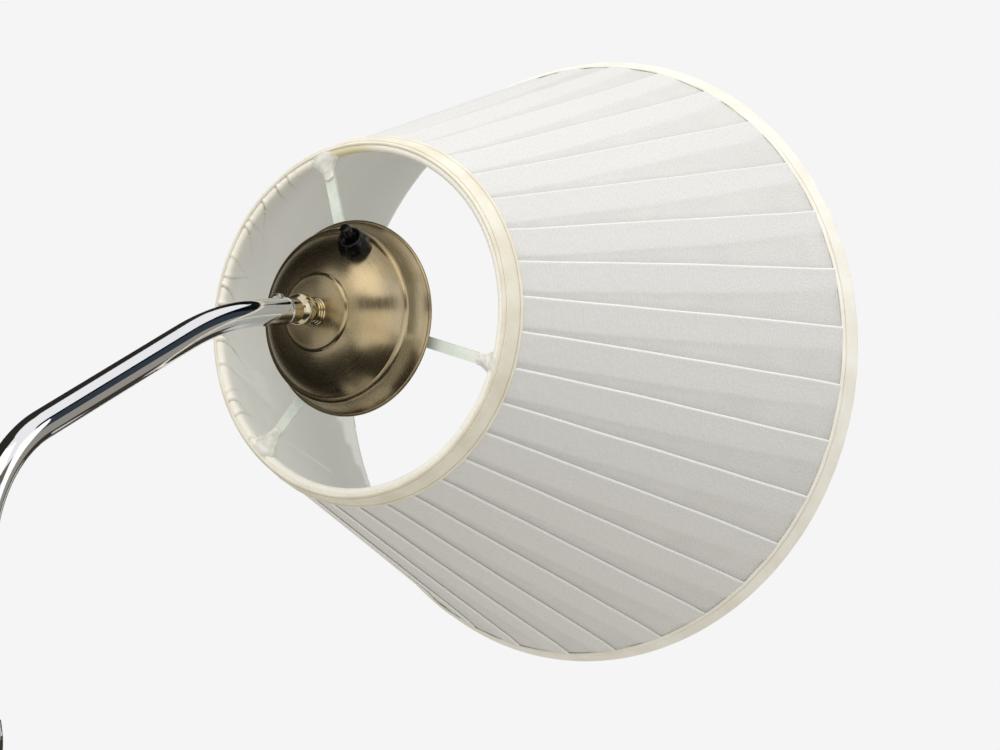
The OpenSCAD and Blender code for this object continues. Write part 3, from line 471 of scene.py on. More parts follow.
# %% The lining cloth
ROLL = 2.4
TOP_WIRE, LOW_WIRE = (91.6, 50.2), (172.8, 280.1)
INSIDE = 7.15  # how far the lining lies inside the shade's outer face, in mm
MEAN_RADIUS = 0.135  # of the lining, about, in metres
top_roll = arc(TOP_WIRE, ROLL, 25, -200, 20)
wall_z = np.concatenate([np.linspace(54.0, 76, 14), np.linspace(80, 276, 22)])
wall = np.stack([cone(wall_z) - INSIDE, wall_z], 1)
low_roll = arc(LOW_WIRE, ROLL, -160, -385, 16)
low_roll = np.stack([low_roll[:, 0], 2 * LOW_WIRE[1] - low_roll[:, 1]], 1)
profile = np.vstack([top_roll, wall, low_roll])
kind = np.concatenate([np.zeros(20), np.ones(36), np.full(16, 2.0)])[:, None]
r0, z0 = profile[:, :1], profile[:, 1:]
tuck = creases(turns[None, :], z0, 91.0) * (kind < 1.5)
tuck += creases((turns[None, :] + 47) % 360, 50.0, 172.0) * (kind > 1.5)
swell = 0.3 * wander(turns / 360 * 2, 24)[None, :] * np.sin(math.pi * np.clip((z0 - 54) / 222, 0, 1))
seam = np.zeros_like(tuck)
for start, end, power in SEAMS:
    off, share = beside_line(turns[None, :], z0, start, end)
    inside = smooth(share, -0.03, 0.03) * (1 - smooth(share, 0.97, 1.03))
    seam += power * inside * np.exp(-(off / 1.2) ** 2)
seam = seam * (kind == 1)
# The cloth moves along its own normal: on the wall towards the axis, on a roll away from its wire.
wire_r = np.where(kind > 1, LOW_WIRE[0], TOP_WIRE[0])
wire_z = np.where(kind > 1, LOW_WIRE[1], TOP_WIRE[1])
move = np.where(kind == 1, -(tuck * 0.9 + seam * 0.35 + swell), tuck)
grid_r = r0 + np.where(kind == 1, move, move * (r0 - wire_r) / ROLL)
grid_z = z0 + np.where(kind == 1, 0, move * (z0 - wire_z) / ROLL)
points = on_head(turns[None, :], grid_r, grid_z)
drop = run_along(points[:, 0])
off, share = beside_line(turns[None, :], z0, *SEAMS[0][:2])
double = smooth(off, -0.6, 0.6) * (1 - smooth(off, 14, 15))
double = double * smooth(share, 0, 0.05) * (1 - smooth(share, 0.8, 1.1))
off, share = beside_line(turns[None, :], z0, *SEAMS[3][:2])
flap = smooth(off, -0.6, 0.6) * smooth(z0, 240, 250) * (np.abs(turns[None, :] - 62) < 25)
double = np.maximum(double, flap)
# The lining's mark for painted shade darkens it from the small ring towards the large ring, standing in for light
# shining through the cloth.
lining = surface("lining_cloth", points, "head", around=True, slot="lining_cloth",
                 uv=spread_uv(columns, 2 * math.pi * MEAN_RADIUS, drop),
                 marks={"tuck": tuck, "roll": kind != 1, "seam": seam,
                        "double": double * (kind == 1), "deep_shade": smooth(z0, 60, 230),
                        "stain": np.exp(-((turns[None, :] - 172.5) / 11) ** 4) * (kind < 1)})
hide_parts("shade_lining")

# %% [markdown]
# ## The bias tapes
#
# Each ring is finished with a cream bias tape. Its narrow edge is tucked against the lining's roll and
# makes a rounded bead, a groove follows, then the flat band runs over the raw ends of the pleats, and
# the outer fold is sewn down as a thin hem. The section is drawn once and mirrored for the large ring.

# %% Tapes over the two rings
TAPE_SECTION = np.array([
    (0.6, -2.3), (0.0, -2.45), (-0.7, -2.0), (-1.1, -1.45), (-1.25, -0.95), (-1.1, -0.55), (-0.8, -0.36),
    (-0.3, -0.40), (0.0, -0.33), (0.12, -0.05), (0.2, 0.26), (0.5, 0.33), (1.2, 0.22), (2.6, 0.17),
    (4.4, 0.17), (6.2, 0.2), (7.6, 0.18), (8.1, 0.12), (8.5, 0.08), (8.8, 0.28), (9.1, 0.52), (9.5, 0.56),
    (9.85, 0.42), (10.05, 0.1), (10.1, -0.5), (10.0, -1.05), (8.0, -1.05), (5.0, -1.05), (2.0, -1.0),
    (0.9, -1.2)])


def tape(name, ring_z, inward, node, seed):
    """A closed band: each (depth, height) of TAPE_SECTION goes to z = ring_z + inward depth and
    r = cone(z) + height. It waves a little over the pleats, and its outer fold wanders."""
    depth, height = TAPE_SECTION[:, :1], TAPE_SECTION[:, 1:]
    turn = turns[None, :]
    part = turn / 360
    edge = smooth(depth, 5, 9.5)
    depth = depth + 0.30 * wander(part * 5, seed) * edge + 0.07 * wander(part * 16, seed + 1, 8)
    pucker = (0.10 + 0.10 * edge) * wander(part * PLEATS / 3, seed + 2, 8) * smooth(depth, 0.5, 3)
    z = ring_z + inward * depth
    points = on_head(turn, cone(z) + height + pucker, z)
    points = np.concatenate([points, points[:1]], 0)
    along = run_along(np.vstack([TAPE_SECTION, TAPE_SECTION[:1]])) * MM
    piece = surface(name, points, "head", around=True, slot="tape",
                    uv=spread_uv(columns, 2 * math.pi * float(cone(ring_z)) * MM, along),
                    marks={"depth": np.vstack([depth, depth[:1]]) / 10})
    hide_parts(node)
    return mended(piece)


top_tape = tape("top_tape", Z_TOP, 1, "top_binding", 31)
low_tape = tape("low_tape", Z_LOW, -1, "low_binding", 41)
print("tapes", [len(piece.data.polygons) for piece in (top_tape, low_tape)])

# %% [markdown]
# ## The cloth tabs
#
# The spider's three strips hook under the small ring, and a scrap of lining cloth is folded round each
# hook and sewn down. Every tab fans out from the narrow strip to the ring, with a few creases.

# %% Tabs round the strips
TAB_COLUMNS = 96


def tab(name, turn, node, wide_mm, reach_mm, seed):
    """A flattened sleeve along the strip: rows from the ring's roll to the strip, an oval section whose
    half width falls from wide_mm to 3.5 mm and whose half height falls to 1.3 mm, with fanned creases."""
    s = np.linspace(0, 1, 22)[:, None]
    a = np.linspace(0, 2 * math.pi, TAB_COLUMNS, endpoint=False)[None, :]
    fall = smooth(s, 0.0, 0.85)
    half_wide = wide_mm + (3.5 - wide_mm) * fall + 0.3 * wander(s * 0.7, seed)
    half_high = 3.25 + (1.35 - 3.25) * smooth(s, 0.05, 0.75)
    fan = 0.95 * wander(a / (2 * math.pi) + 0.10 * s, seed + 1, 11) * (1 - 0.75 * s)
    fan = fan + 0.25 * wander(a / math.pi + s, seed + 2, 6) * s
    closing = np.sqrt(np.clip(1 - ((s - 0.5) / 0.5) ** 16, 0.0, 1))
    squared = np.sign(np.cos(a)) * np.abs(np.cos(a)) ** 0.75
    across = (half_wide + 0.4 * fan) * squared * (0.25 + 0.75 * closing)
    high = (half_high + fan) * np.sin(a) * (0.1 + 0.9 * closing)
    radius = 94.0 - reach_mm * s + 0.5 * wander(a / (2 * math.pi), seed + 3) * s
    flat_turn = turn + np.degrees(across / 88.0)
    points = on_head(flat_turn, radius, STRIP_Z + 0.15 + high)
    ends = [np.repeat(points[[row]].mean(1, keepdims=True), TAB_COLUMNS, 1) for row in (0, -1)]
    points = np.concatenate([ends[0], points, ends[1]], 0)
    along = run_along(points[:, 0])
    piece = surface(name, points, "head", around=True, slot="tab_cloth",
                    uv=spread_uv(TAB_COLUMNS, 0.032, along))
    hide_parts(node)
    return mended(piece)


TAB_FANS = ((11.0, 16.0), (9.5, 18.0), (7.5, 14.0))  # half width at the ring and reach, in mm
tabs = [tab(f"tab_{i + 1}", turn, f"arm_tab_{i + 1}", wide, reach, 50 + 7 * i)
        for i, (turn, (wide, reach)) in enumerate(zip(STRIP_TURNS, TAB_FANS))]
print("tabs", [piece.name for piece in tabs])

print("declared", cover.name, "and", lining.name)

# %% [markdown]
# ## The spun cap
#
# The cap is spun from sheet brass over a wooden chuck and then brushed on the lathe and plated. Its
# profile is a boss, a shallow dome, a rounded step and a flared skirt with a rolled rim. A profile turned
# round an axis gives this shape exactly, with far smoother highlights than a coarse mesh.

# %% Cap
dome_bow = bow((22.0, 14.2), (43.3, 29.4), -2.7, 28)


def cap_profile():
    """Outer face from the boss to the rim, then the inside 1 mm behind it."""
    boss = [bow((5.1, 11.5), (18.2, 12.1), -0.25, 10), arc((18.6, 14.3), 2.2, -88, -8, 12)]
    step_and_skirt = [arc((43.9, 31.8), 2.4, -70, 0, 10), bow((46.3, 32.8), (51.1, 43.6), 1.2, 14)]
    face = np.vstack([*boss, dome_bow[1:], *step_and_skirt])
    return np.vstack([face[:-1], arc((51.1, 43.6), 0.9, -60, 150, 12), beside(face[:-1], 1.0)[::-1]])


cap = spun("cap_metal", cap_profile(), on_head, "head", count=256, slot="cap_metal", crease_deg=50)
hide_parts("cap")
print("cap faces", len(cap.data.polygons))

# %% [markdown]
# ## The push switch
#
# A moulded nut with a flared foot holds the switch to the dome, and a round button stands in its mouth.
# The switch leans out from the dome. The foot is found point by point: a straight line down the nut's
# wall is halved again and again until it meets the dome.

# %% Switch nut and button
SWITCH_TURN, SWITCH_R, SWITCH_LEAN = 206.0, 37.8, math.radians(31)


def dome_z(radius):
    """Height of the dome's outer face at a radius, read off its profile."""
    return np.interp(radius, dome_bow[:, 0], dome_bow[:, 1])


outward = on_head(SWITCH_TURN, 1000.0, 0.0) - BALL
switch_axis = math.sin(SWITCH_LEAN) * outward - math.cos(SWITCH_LEAN) * HEAD_AXIS
on_switch = placer(on_head(SWITCH_TURN, SWITCH_R, float(dome_z(SWITCH_R))), switch_axis,
                   np.cross(HEAD_AXIS, outward))


def height_over_dome(points):
    """How far points lie in front of the dome, in mm along the head's axis."""
    off = (points - BALL) / MM
    z = off @ HEAD_AXIS
    radius = np.linalg.norm(off - z[..., None] * HEAD_AXIS, axis=-1)
    return dome_z(radius) - z


count = 96
turn = np.arange(count) * 360 / count
low, high = np.full(count, -9.0), np.full(count, 3.0)
for _ in range(30):
    middle = (low + high) / 2
    above = height_over_dome(on_switch(turn, 8.3, middle)) > 0
    low, high = np.where(above, low, middle), np.where(above, middle, high)
foot = (low + high) / 2 - 0.5
nut_face = np.vstack([[[8.3, 0.0], [8.3, 0.2], [8.3, 0.8]], bow((8.28, 1.2), (6.2, 9.9), -0.5, 12),
                      arc((5.65, 9.95), 0.55, 0, 90, 5), arc((5.2, 10.1), 0.4, 90, 180, 4),
                      [[4.8, 9.2], [4.8, 8.6], [2.0, 8.6]]])
row = np.arange(len(nut_face))[:, None]
nut_heights = np.where(row == 0, foot[None, :], nut_face[:, 1:])
nut_heights = np.where((row < 3) & (nut_heights < foot), foot + 0.5 * nut_face[:, 1:], nut_heights)
points = on_switch(turn[None, :], nut_face[:, :1], nut_heights)
switch_nut = surface("switch_nut", points, "head", around=True, slot="black_plastic")
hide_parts("switch_sleeve")
button_face = np.vstack([[[0, 4.0], [2.8, 4.0]], arc((1.9, 17.9), 0.9, 0, 80, 7), [[0.9, 18.85], [0, 18.88]]])
button = spun("switch_cap", button_face, on_switch, "button", count=64, slot="black_plastic", crease_deg=40)
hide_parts("switch_button")
print("switch nut foot", foot.min().round(2), "to", foot.max().round(2), "mm")

# %% [markdown]
# ## The bridge arm
#
# The arm is one chromed steel tube with two bends. The path is worked out from the same straight runs
# and radii as the model, and a circle is carried along it. The cut end is rolled over to a smooth lip.

# %% Arm tube
ARM_R, ARM_COLUMNS = 7.0, 72
LOW_BEND, UP_BEND = 65.5, 190.0
MID_HEADING, END_HEADING = math.radians(68.2), math.radians(85.9)
MOUTH_TO_BALL = 12.4
MID_LEN, STEM_LEN, END_RUN = 109.0, 360.0, 37.4 - MOUTH_TO_BALL


def arm_path():
    """Straight stem, the low bend, a straight run, the wide upper bend and the straight end, from the
    foot of the stem to the tube's mouth. Headings are measured from straight up towards +X."""
    def bend(radius, start, end, count):
        h = np.linspace(start, end, count)
        return np.stack([radius * (math.cos(start) - np.cos(h)), radius * (np.sin(h) - math.sin(start))], 1)

    def straight(heading, length, count):
        return np.linspace(0, length, count)[:, None] * [math.sin(heading), math.cos(heading)]

    flat = straight(0, STEM_LEN, 24)
    for run in (bend(LOW_BEND, 0, MID_HEADING, 48), straight(MID_HEADING, MID_LEN, 16),
                bend(UP_BEND, MID_HEADING, END_HEADING, 32), straight(END_HEADING, END_RUN, 12)):
        flat = np.vstack([flat, flat[-1] + run[1:]])
    flat = flat - flat[-1] + BALL[[0, 2]] / MM - MOUTH_TO_BALL * ARM_AXIS[[0, 2]]
    return np.stack([flat[:, 0], np.zeros(len(flat)), flat[:, 1]], 1) * MM


path = arm_path()
arm_way = ARM_AXIS * MM
lip_steps = np.array([-2.2, -1.9, -1.5, -1.1, -0.7, -0.35, -0.1, 0.0, -0.05, -0.3, -1.0, -3.0, -6.0])
lip_radii = np.array([7.0, 7.04, 7.12, 7.16, 7.14, 7.02, 6.78, 6.5, 6.22, 6.05, 6.0, 6.0, 6.0])
body_path = path[np.linalg.norm(path - path[-1], axis=1) > 0.0025]
full = np.vstack([body_path, path[-1] + lip_steps[:, None] * arm_way])
radii = np.concatenate([np.full(len(body_path), ARM_R), lip_radii]) * MM


def tube_with_lip(name, path, straight_from, radii, body, slot):
    """The tube's skin, then its lip turned back into the bore: circles square to the path's direction,
    where the last rows all keep the arm's own end direction."""
    way = np.gradient(path, axis=0)
    way[straight_from:] = ARM_AXIS
    way /= np.linalg.norm(way, axis=1)[:, None]
    across = np.cross(SIDE, way)
    turn = np.linspace(0, 2 * math.pi, ARM_COLUMNS, endpoint=False)[None, :, None]
    points = path[:, None] + (np.cos(turn) * across[:, None] + np.sin(turn) * SIDE) * radii[:, None, None]
    return surface(name, points, body, around=True, slot=slot,
                   uv=spread_uv(ARM_COLUMNS, 2 * math.pi * radii.max(), run_along(path)))


arm = tube_with_lip("arm_chrome", full, len(body_path) - 2, radii, "arm", "chrome")
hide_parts("arm_tube")
print("arm from", path[0].round(4), "to", path[-1].round(4))

# %% [markdown]
# ## Cloths
#
# The cover and lining are a fine plain-woven white polyester, about 30 threads to the centimetre.
# Threads that fine vanish at this distance, so the weave is drawn at about 1 mm, which leaves the faint
# tooth that the eye sees. The cover is a little whiter where three layers lie together.

# %% Woven cloth
def weave(tree, where, pitch_mm, depth_mm):
    """Two crossed sets of fine waves, multiplied and used as a bump: threads over and under each other."""
    bands = {"Vector": where, "Scale": 0.314 / (pitch_mm * MM), "Distortion": 0.6, "Detail": 1.0}
    warp = add(tree, "ShaderNodeTexWave", bands, out="Fac", bands_direction="X")
    weft = add(tree, "ShaderNodeTexWave", bands, out="Fac", bands_direction="Y")
    both = add(tree, "ShaderNodeMath", {0: warp, 1: weft}, operation="MULTIPLY")
    return add(tree, "ShaderNodeBump", {"Height": both, "Distance": depth_mm * MM, "Strength": 0.5})


def marked(tree, base, name, low, high, colour):
    """Lays colour over base where the piece's own mark of that name runs from low to high."""
    mark = add(tree, "ShaderNodeAttribute", attribute_name=name, out="Fac")
    share = add(tree, "ShaderNodeMapRange", {0: mark, 1: low[0], 2: high[0], 3: low[1], 4: high[1]})
    return add(tree, "ShaderNodeMix", {0: share, 6: base, 7: colour}, data_type="RGBA", out=2)


def pleat_look(tree):
    """Semi-sheer white cloth, off-white where single and whiter in layers, with painted highlight on each
    fold and painted shadow just before the next fold.
    """
    where = spot_on(tree, follow=True)
    base = clouds(tree, where, 40, "#DEDDDA", "#E3E2DF", detail=4)
    base = marked(tree, base, "layers", (0, 0), (1, 1), "#E8E7E5")
    base = marked(tree, base, "shadow", (0, 0), (1, 0.55), "#CFCECA")
    base = marked(tree, base, "fold_highlight", (0, 0), (1, 1.0), "#FDFCFA")
    fleck = clouds(tree, where, 1.3, "#F1F1F0", "#FFFFFF", detail=2, spread=(0.3, 0.7))
    base = add(tree, "ShaderNodeMix", {0: 1.0, 6: base, 7: fleck}, data_type="RGBA",
               blend_type="MULTIPLY", out=2)
    return {"Base Color": base, "Normal": weave(tree, where, 1.1, 0.20)}


def lining_look(tree):
    """The same white seen from inside, faintly green and whiter over the satin roll. Painted shade greys it
    towards the large ring and in the grooves of the tucks, and painted highlight lightens their ridges.
    """
    where = spot_on(tree, follow=True)
    base = clouds(tree, where, 35, "#EEEDE7", "#F3F2EC", detail=4)
    # Painted shade, darker towards the large ring.
    base = marked(tree, base, "deep_shade", (0, 0), (1, 1), "#CFCFCA")
    base = marked(tree, base, "double", (0, 0), (1, 0.8), "#F4F4EE")
    base = marked(tree, base, "roll", (0, 0), (1, 1), "#F8F4E8")
    base = marked(tree, base, "stain", (0, 0), (1, 0.8), "#DDD2A2")
    # Painted shade in the grooves of the tucks and painted highlight on their ridges.
    base = marked(tree, base, "tuck", (-0.05, 0), (-0.5, 0.7), "#B2AC9A")
    base = marked(tree, base, "tuck", (0.1, 0), (0.4, 0.6), "#F6F4EC")
    base = marked(tree, base, "seam", (0, 0), (1, 0.6), "#F0F0EA")
    return {"Base Color": base, "Normal": weave(tree, where, 0.9, 0.08)}


def tape_look(first, second):
    """Cream cotton between two tones in clouds, with painted shade as a tan line in each of the two grooves."""
    def look(tree):
        where = spot_on(tree, follow=True)
        base = clouds(tree, where, 18, first, second, detail=5)
        depth = add(tree, "ShaderNodeAttribute", attribute_name="depth", out="Fac")
        # Painted shade: a tan line along each of the two grooves.
        shade = add(tree, "ShaderNodeValToRGB", {"Fac": depth}, stops=(
            (0.0, "#FFFFFF"), (0.005, "#CFC5A9"), (0.02, "#FFFFFF"), (0.78, "#FFFFFF"), (0.84, "#DAD2BC"),
            (0.89, "#FFFFFF")))
        base = add(tree, "ShaderNodeMix", {0: 1.0, 6: base, 7: shade}, data_type="RGBA",
                   blend_type="MULTIPLY", out=2)
        return {"Base Color": base, "Normal": weave(tree, where, 0.8, 0.10)}
    return look


def tab_look(tree):
    """A scrap of the lining, mottled grey in small clouds: painted shade that stands for its creases."""
    where = spot_on(tree, follow=True)
    return {"Base Color": clouds(tree, where, 5, "#D3D0C4", "#F3F2EC", detail=4),
            "Normal": weave(tree, where, 0.8, 0.08)}


pleat_cloth = made_of("plain woven polyester, pleated", pleat_look, Roughness=0.85, Sheen_Weight=0.15,
                      Sheen_Roughness=0.5)
lining_cloth = made_of("plain woven polyester, lining", lining_look, Roughness=0.75, Sheen_Weight=0.1)
# One cloth in two colours: the tape on the large ring is painted paler for the stronger light on it, and the one
# on the small ring is also yellowed by the lamp's heat.
tape_cloth = made_of("cotton bias tape, yellowed near the lamp", tape_look("#F1ECDE", "#E4DDCA"),
                     Roughness=0.8, Sheen_Weight=0.1)
pale_lit_tape = made_of("cotton bias tape", tape_look("#FAF7EE", "#F1ECDF"), Roughness=0.8, Sheen_Weight=0.1)
tab_cloth = made_of("scrap of lining cloth", tab_look, Roughness=0.7, Sheen_Weight=0.1)
print("cloths:", [cloth.name for cloth in (pleat_cloth, lining_cloth, tape_cloth, pale_lit_tape, tab_cloth)])

# %% [markdown]
# ## Metals
#
# The arm and pole are chromed steel: a hard mirror with a faint blue tone. The cap is brushed on the
# lathe, so its scratches run in circles and draw every highlight out across them, into wedges that
# point to the middle. That takes a shader with more roughness one way than the other, and the cap's own
# flat coordinates say which way the scratches run. The turn of 0.25 sets the rough way across them.

# %% Chrome and brushed nickel
def chrome_look(tree):
    """Polished chromium plate: almost clean, with faint smears where hands hold it."""
    where = spot_on(tree)
    return {"Roughness": clouds(tree, where, 30, 0.03, 0.08, detail=4),
            "Base Color": clouds(tree, where, 45, "#ECEEF0", "#F3F4F5", detail=2)}


def brushed_look(tree):
    """Turning marks: noise stretched 43 times along the circle, which tints, roughens and tilts, over
    darker clouds of age."""
    ring = spot_on(tree, (0.6, 26.0, 1.0), follow=True)
    marks = add(tree, "ShaderNodeTexNoise", {"Vector": ring, "Scale": 60.0, "Detail": 6.0, "Roughness": 0.7})
    tint = add(tree, "ShaderNodeValToRGB", {"Fac": marks}, stops=((0.3, "#A2957A"), (0.7, "#B7AA8E")))
    age = clouds(tree, spot_on(tree), 26, "#FFFFFF", "#D8D0BE", detail=5, spread=(0.4, 0.75))
    base = add(tree, "ShaderNodeMix", {0: 1.0, 6: tint, 7: age}, data_type="RGBA",
               blend_type="MULTIPLY", out=2)
    rough = add(tree, "ShaderNodeMapRange", {0: marks, 1: 0.3, 2: 0.7, 3: 0.24, 4: 0.31})
    return {"Base Color": base, "Roughness": rough,
            "Normal": add(tree, "ShaderNodeBump", {"Height": marks, "Distance": 0.03 * MM, "Strength": 0.15}),
            "Tangent": add(tree, "ShaderNodeTangent", direction_type="UV_MAP", uv_map="cloth")}


chrome = made_of("chromed steel", chrome_look, Metallic=1.0)
brushed = made_of("brushed nickel plate on brass", brushed_look, Metallic=1.0, Anisotropic=0.8,
                  Anisotropic_Rotation=0.25)
print("metals:", chrome.name, "and", brushed.name)

# %% Small hardware
# Nickel is a warm mirror, zinc plate a duller grey one, and contact brass yellow and about as dull.
nickel = made_of("polished nickel on brass", weathered("#C4B999", "#D3CAAE", 5, (0.10, 0.20), 0.6, 0.006),
                 Metallic=1.0)
steel = made_of("zinc plated steel", weathered("#B2B2AE", "#C3C3BD", 4, (0.24, 0.38), 0.5, 0.01),
                Metallic=1.0)
brass = made_of("bright contact brass", weathered("#C39E52", "#D2B168", 5, (0.20, 0.34), 0.5, 0.006),
                Metallic=1.0)
# Moulded phenolic is smooth but mirrors little. Stove enamel and lacquer are a bit rougher.
black = made_of("moulded black phenolic", weathered("#060607", "#0B0B0C", 6, (0.16, 0.28), 0.4, 0.008),
                Specular_IOR_Level=0.3)
enamel = made_of("white stove enamel", weathered("#DCE6DA", "#E8EEE3", 8, (0.22, 0.36), 1.5, 0.03))
wire = made_of("white lacquered wire", weathered("#DFDFDA", "#E9E9E5", 6, (0.3, 0.45), 1.0, 0.02))
# Felt has only the sheen of its nap. Painted iron shows the grain of its casting, rubber and nylon are
# dull and smooth, and porcelain has a clear glaze.
felt = made_of("pressed wool felt", weathered("#232323", "#333231", 3, (0.9, 1.0), 0.5, 0.15),
               Sheen_Weight=0.4)
iron = made_of("painted cast iron", weathered("#212225", "#2D2E31", 9, (0.5, 0.7), 1.6, 0.12))
rubber = made_of("black rubber", weathered("#161616", "#202020", 4, (0.5, 0.7), 0.4, 0.02))
nylon = made_of("natural nylon", weathered("#E0DACA", "#EAE6D9", 7, (0.38, 0.52), 0.6, 0.01))
porcelain = made_of("glazed porcelain", weathered("#EAE7E0", "#F2F0EB", 9, (0.10, 0.2), 1.2, 0.02),
                    Coat_Weight=0.5)
brown = made_of("brown lead cover", weathered("#54341F", "#63412C", 3, (0.35, 0.48), 0.5, 0.01))
blue = made_of("blue lead cover", weathered("#2A568C", "#3563A0", 3, (0.35, 0.48), 0.5, 0.01))
print("materials so far:", len(bpy.data.materials))

# %% What each piece is made of
WEARS = {
    felt: ["base_felt"], iron: ["base_weight"],
    chrome: ["base_cover", "pole_foot", "pole_tube", "pole_collar", "arm_tube", "clamp_knob"],
    steel: ["base_nipple", "base_washer", "base_nut", "pole_plug", "clamp_screw", "swivel_lock_screw",
            "swivel_pin", "switch_bush"],
    rubber: ["cord_grommet"], nylon: ["stem_guide"],
    nickel: ["swivel_ball", "swivel_tongue", "neck_washer_small", "neck_washer_large", "neck_nut"],
    brushed: ["cap"],
    black: ["switch_body", "switch_sleeve", "switch_button", "holder_cap", "holder_shell", "shade_ring_nut"],
    porcelain: ["holder_core"], brass: ["holder_screws", "contact_sleeve", "centre_contact"],
    brown: ["switch_lead_a"], blue: ["switch_lead_b"], enamel: ["shade_spider"],
    wire: ["shade_top_ring", "shade_low_ring", "rib_1", "rib_2", "rib_3", "rib_4", "rib_5", "rib_6"],
    pleat_cloth: ["shade_cover"], lining_cloth: ["shade_lining"],
    tape_cloth: ["top_binding"], pale_lit_tape: ["low_binding"],
    tab_cloth: ["arm_tab_1", "arm_tab_2", "arm_tab_3"],
}
for finish, names in WEARS.items():
    for name in names:
        nodes[name].data.materials.clear()
        nodes[name].data.materials.append(finish)
NEW_PIECES = {pleat_cloth: [cover], lining_cloth: [lining], tape_cloth: [top_tape], pale_lit_tape: [low_tape],
              tab_cloth: tabs, brushed: [cap], black: [switch_nut, button], chrome: [arm]}
for finish, pieces in NEW_PIECES.items():
    for piece in pieces:
        piece.data.materials.append(finish)
print("nodes with no finish:", sorted(set(nodes) - {name for names in WEARS.values() for name in names}))

# %% [markdown]
# ## The studio
#
# A pale floor and one large soft lamp overhead give plain studio light, with a weak one in front of the
# shade's mouth. The world shows its own near-white to the camera and to reflections, and a softer grey
# to everything else. Curved screens that only reflections can see stand round the lamp, dark and bright:
# metal is made of what it mirrors, and dark screens draw the dark edges that make chrome look like
# chrome. Nine of them stand about 0.6 m from the head and six about 2.7 m from it.

# %% World
world = bpy.data.worlds.new("studio")
bpy.context.scene.world = world
world.use_nodes = True
tree = world.node_tree
tree.nodes.clear()
ray = add(tree, "ShaderNodeLightPath").node.outputs
seen = add(tree, "ShaderNodeMath", {0: ray["Is Camera Ray"], 1: ray["Is Glossy Ray"]}, operation="MAXIMUM")
seen = add(tree, "ShaderNodeMath", {0: seen, 1: ray["Is Transmission Ray"]}, operation="MAXIMUM")
shown = add(tree, "ShaderNodeBackground", {"Color": "#F5F5F5", "Strength": 1.0})
ambient = add(tree, "ShaderNodeBackground", {"Color": "#F4F4F2", "Strength": 0.74})
mixed = add(tree, "ShaderNodeMixShader", {0: seen, 1: ambient, 2: shown})
add(tree, "ShaderNodeOutputWorld", {"Surface": mixed})
print("world nodes:", len(tree.nodes))

# %% Floor
steps = np.linspace(-4, 4, 9)
x, y = np.meshgrid(steps, steps, indexing="ij")
spots = np.stack([x, y, np.full_like(x, -0.0006)], -1)
floor_mesh = bpy.data.meshes.new("floor")
index = np.arange(81).reshape(9, 9)
quads = np.stack([index[:-1, :-1], index[1:, :-1], index[1:, 1:], index[:-1, 1:]], -1).reshape(-1, 4)
floor_mesh.from_pydata(spots.reshape(-1, 3).tolist(), [], quads.tolist())
floor = bpy.data.objects.new("floor", floor_mesh)
bpy.context.scene.collection.objects.link(floor)
floor_paint = weathered("#E3E0DA", "#E7E4DE", 90, (0.75, 0.85), 3, 0.05)
floor_mesh.materials.append(made_of("pale painted floor", floor_paint))
floor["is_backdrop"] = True
print("floor", np.ptp(steps), "m wide")


# %% Lamps and screens
def lamp(name, at, towards, size, power, colour="#FFFFFF"):
    """A rectangular area lamp of size metres at a point, facing another."""
    light = bpy.data.lights.new(name, "AREA")
    light.shape = "RECTANGLE"
    light.size, light.size_y = size
    light.energy = power
    light.color = linear(colour)[:3]
    holder = bpy.data.objects.new(name, light)
    holder.rotation_mode = "QUATERNION"
    holder.location = at
    holder.rotation_quaternion = (Vector(towards) - Vector(at)).to_track_quat("-Z", "Y")
    bpy.context.scene.collection.objects.link(holder)
    return holder


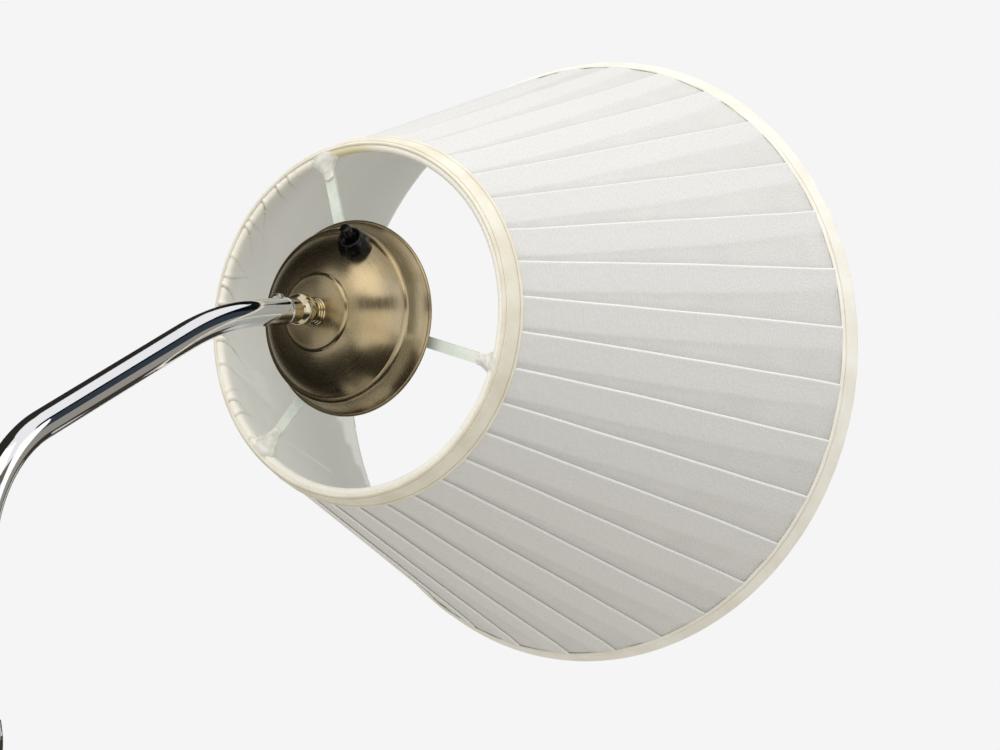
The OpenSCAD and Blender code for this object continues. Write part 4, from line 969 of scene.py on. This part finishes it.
def screen(name, turn, rise, distance, colour, glow=1.0):
    """A curved screen that only reflections see, part of an upright drum round the head: from turn[0]
    to turn[1] degrees, and from rise[0] to rise[1] degrees above the level of the head. What would
    reach below the floor is drawn in along its own line of sight, so that it lies just over it."""
    a = np.radians(np.linspace(*turn, 25))[None, :]
    h = distance * np.tan(np.radians(np.linspace(*rise, 15)))[:, None]
    a, h = np.broadcast_arrays(a, h)
    spots = np.stack([distance * np.cos(a), distance * np.sin(a), h], -1)
    spots = head_middle + spots * np.minimum(1, DEEPEST / np.maximum(-h, 0.01))[..., None]
    index = np.arange(a.size).reshape(a.shape)
    quads = np.stack([index[:-1, :-1], index[:-1, 1:], index[1:, 1:], index[1:, :-1]], -1).reshape(-1, 4)
    mesh = bpy.data.meshes.new(name)
    mesh.from_pydata(spots.reshape(-1, 3).tolist(), [], quads.tolist())
    finish = bpy.data.materials.new(name)
    finish.use_nodes = True
    tree = finish.node_tree
    tree.nodes.clear()
    shine = add(tree, "ShaderNodeEmission", {"Color": colour, "Strength": glow})
    add(tree, "ShaderNodeOutputMaterial", {"Surface": shine})
    mesh.materials.append(finish)
    piece = bpy.data.objects.new(name, mesh)
    bpy.context.scene.collection.objects.link(piece)
    piece.visible_camera = piece.visible_diffuse = piece.visible_shadow = False
    piece.visible_transmission = piece.visible_volume_scatter = False
    piece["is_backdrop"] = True
    return piece


DEEPEST = 1.2  # how far below the head a screen may reach, in metres
head_middle = BALL + 0.03 * HEAD_AXIS
shade_middle = BALL + 0.16 * HEAD_AXIS
overhead = lamp("overhead", tuple(shade_middle + 1.75 * np.array([-0.52, -0.17, 0.835])),
                tuple(shade_middle), (2.4, 2.4), 25.5)
mouth_fill = lamp("mouth_fill", tuple(shade_middle + 1.2 * np.array([0.78, -0.6, 0.15])),
                  tuple(shade_middle), (0.8, 0.8), 3.0)
overhead.visible_glossy = mouth_fill.visible_glossy = False

# %% Where the screens stand
# Name, turn and rise in degrees, distance in metres, colour and glow, which is 1 where none is given.
for screen_row in (
        ("left_dark", (40, 144), (-72, 78), 0.624, "#2E2B27"),
        ("left_grey", (146, 172), (-14, 34), 0.576, "#F4EFE4", 1.15),
        ("left_low", (144, 196), (-72, -14), 0.612, "#2E2B26"),
        ("slot", (172, 232), (25, 62), 0.6, "#FFF8EA", 2.0),
        ("slot_edge", (144, 172), (34, 78), 0.612, "#2A2824"),
        ("gap", (178, 256), (11, 26), 0.612, "#6B6459"),
        ("window_low", (190, 244), (-26, 12), 0.6, "#FFF8EA", 1.4),
        ("right_low", (196, 300), (-72, -26), 0.588, "#39352F"),
        ("right_edge", (257, 290), (-16, 36), 0.6, "#FFFFFF", 1.2),
        ("arm_blue", (292, 332), (9, 38), 2.7, "#343C46"),
        ("arm_edge", (292, 336), (37, 45), 2.6, "#0B0C0E"),
        ("arm_lens", (324, 362), (20, 46), 2.65, "#101113"),
        ("arm_warm", (300, 352), (-24, 9), 2.7, "#97928A"),
        ("far_black", (360, 414), (-8, 47), 2.75, "#151517"),
        ("far_low", (338, 388), (-27, -9), 2.6, "#3A3630")):
    screen(*screen_row)

# %% Colour view and bounds
bpy.context.scene.view_settings.view_transform = "Standard"
bpy.context.view_layer.update()
low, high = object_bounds()
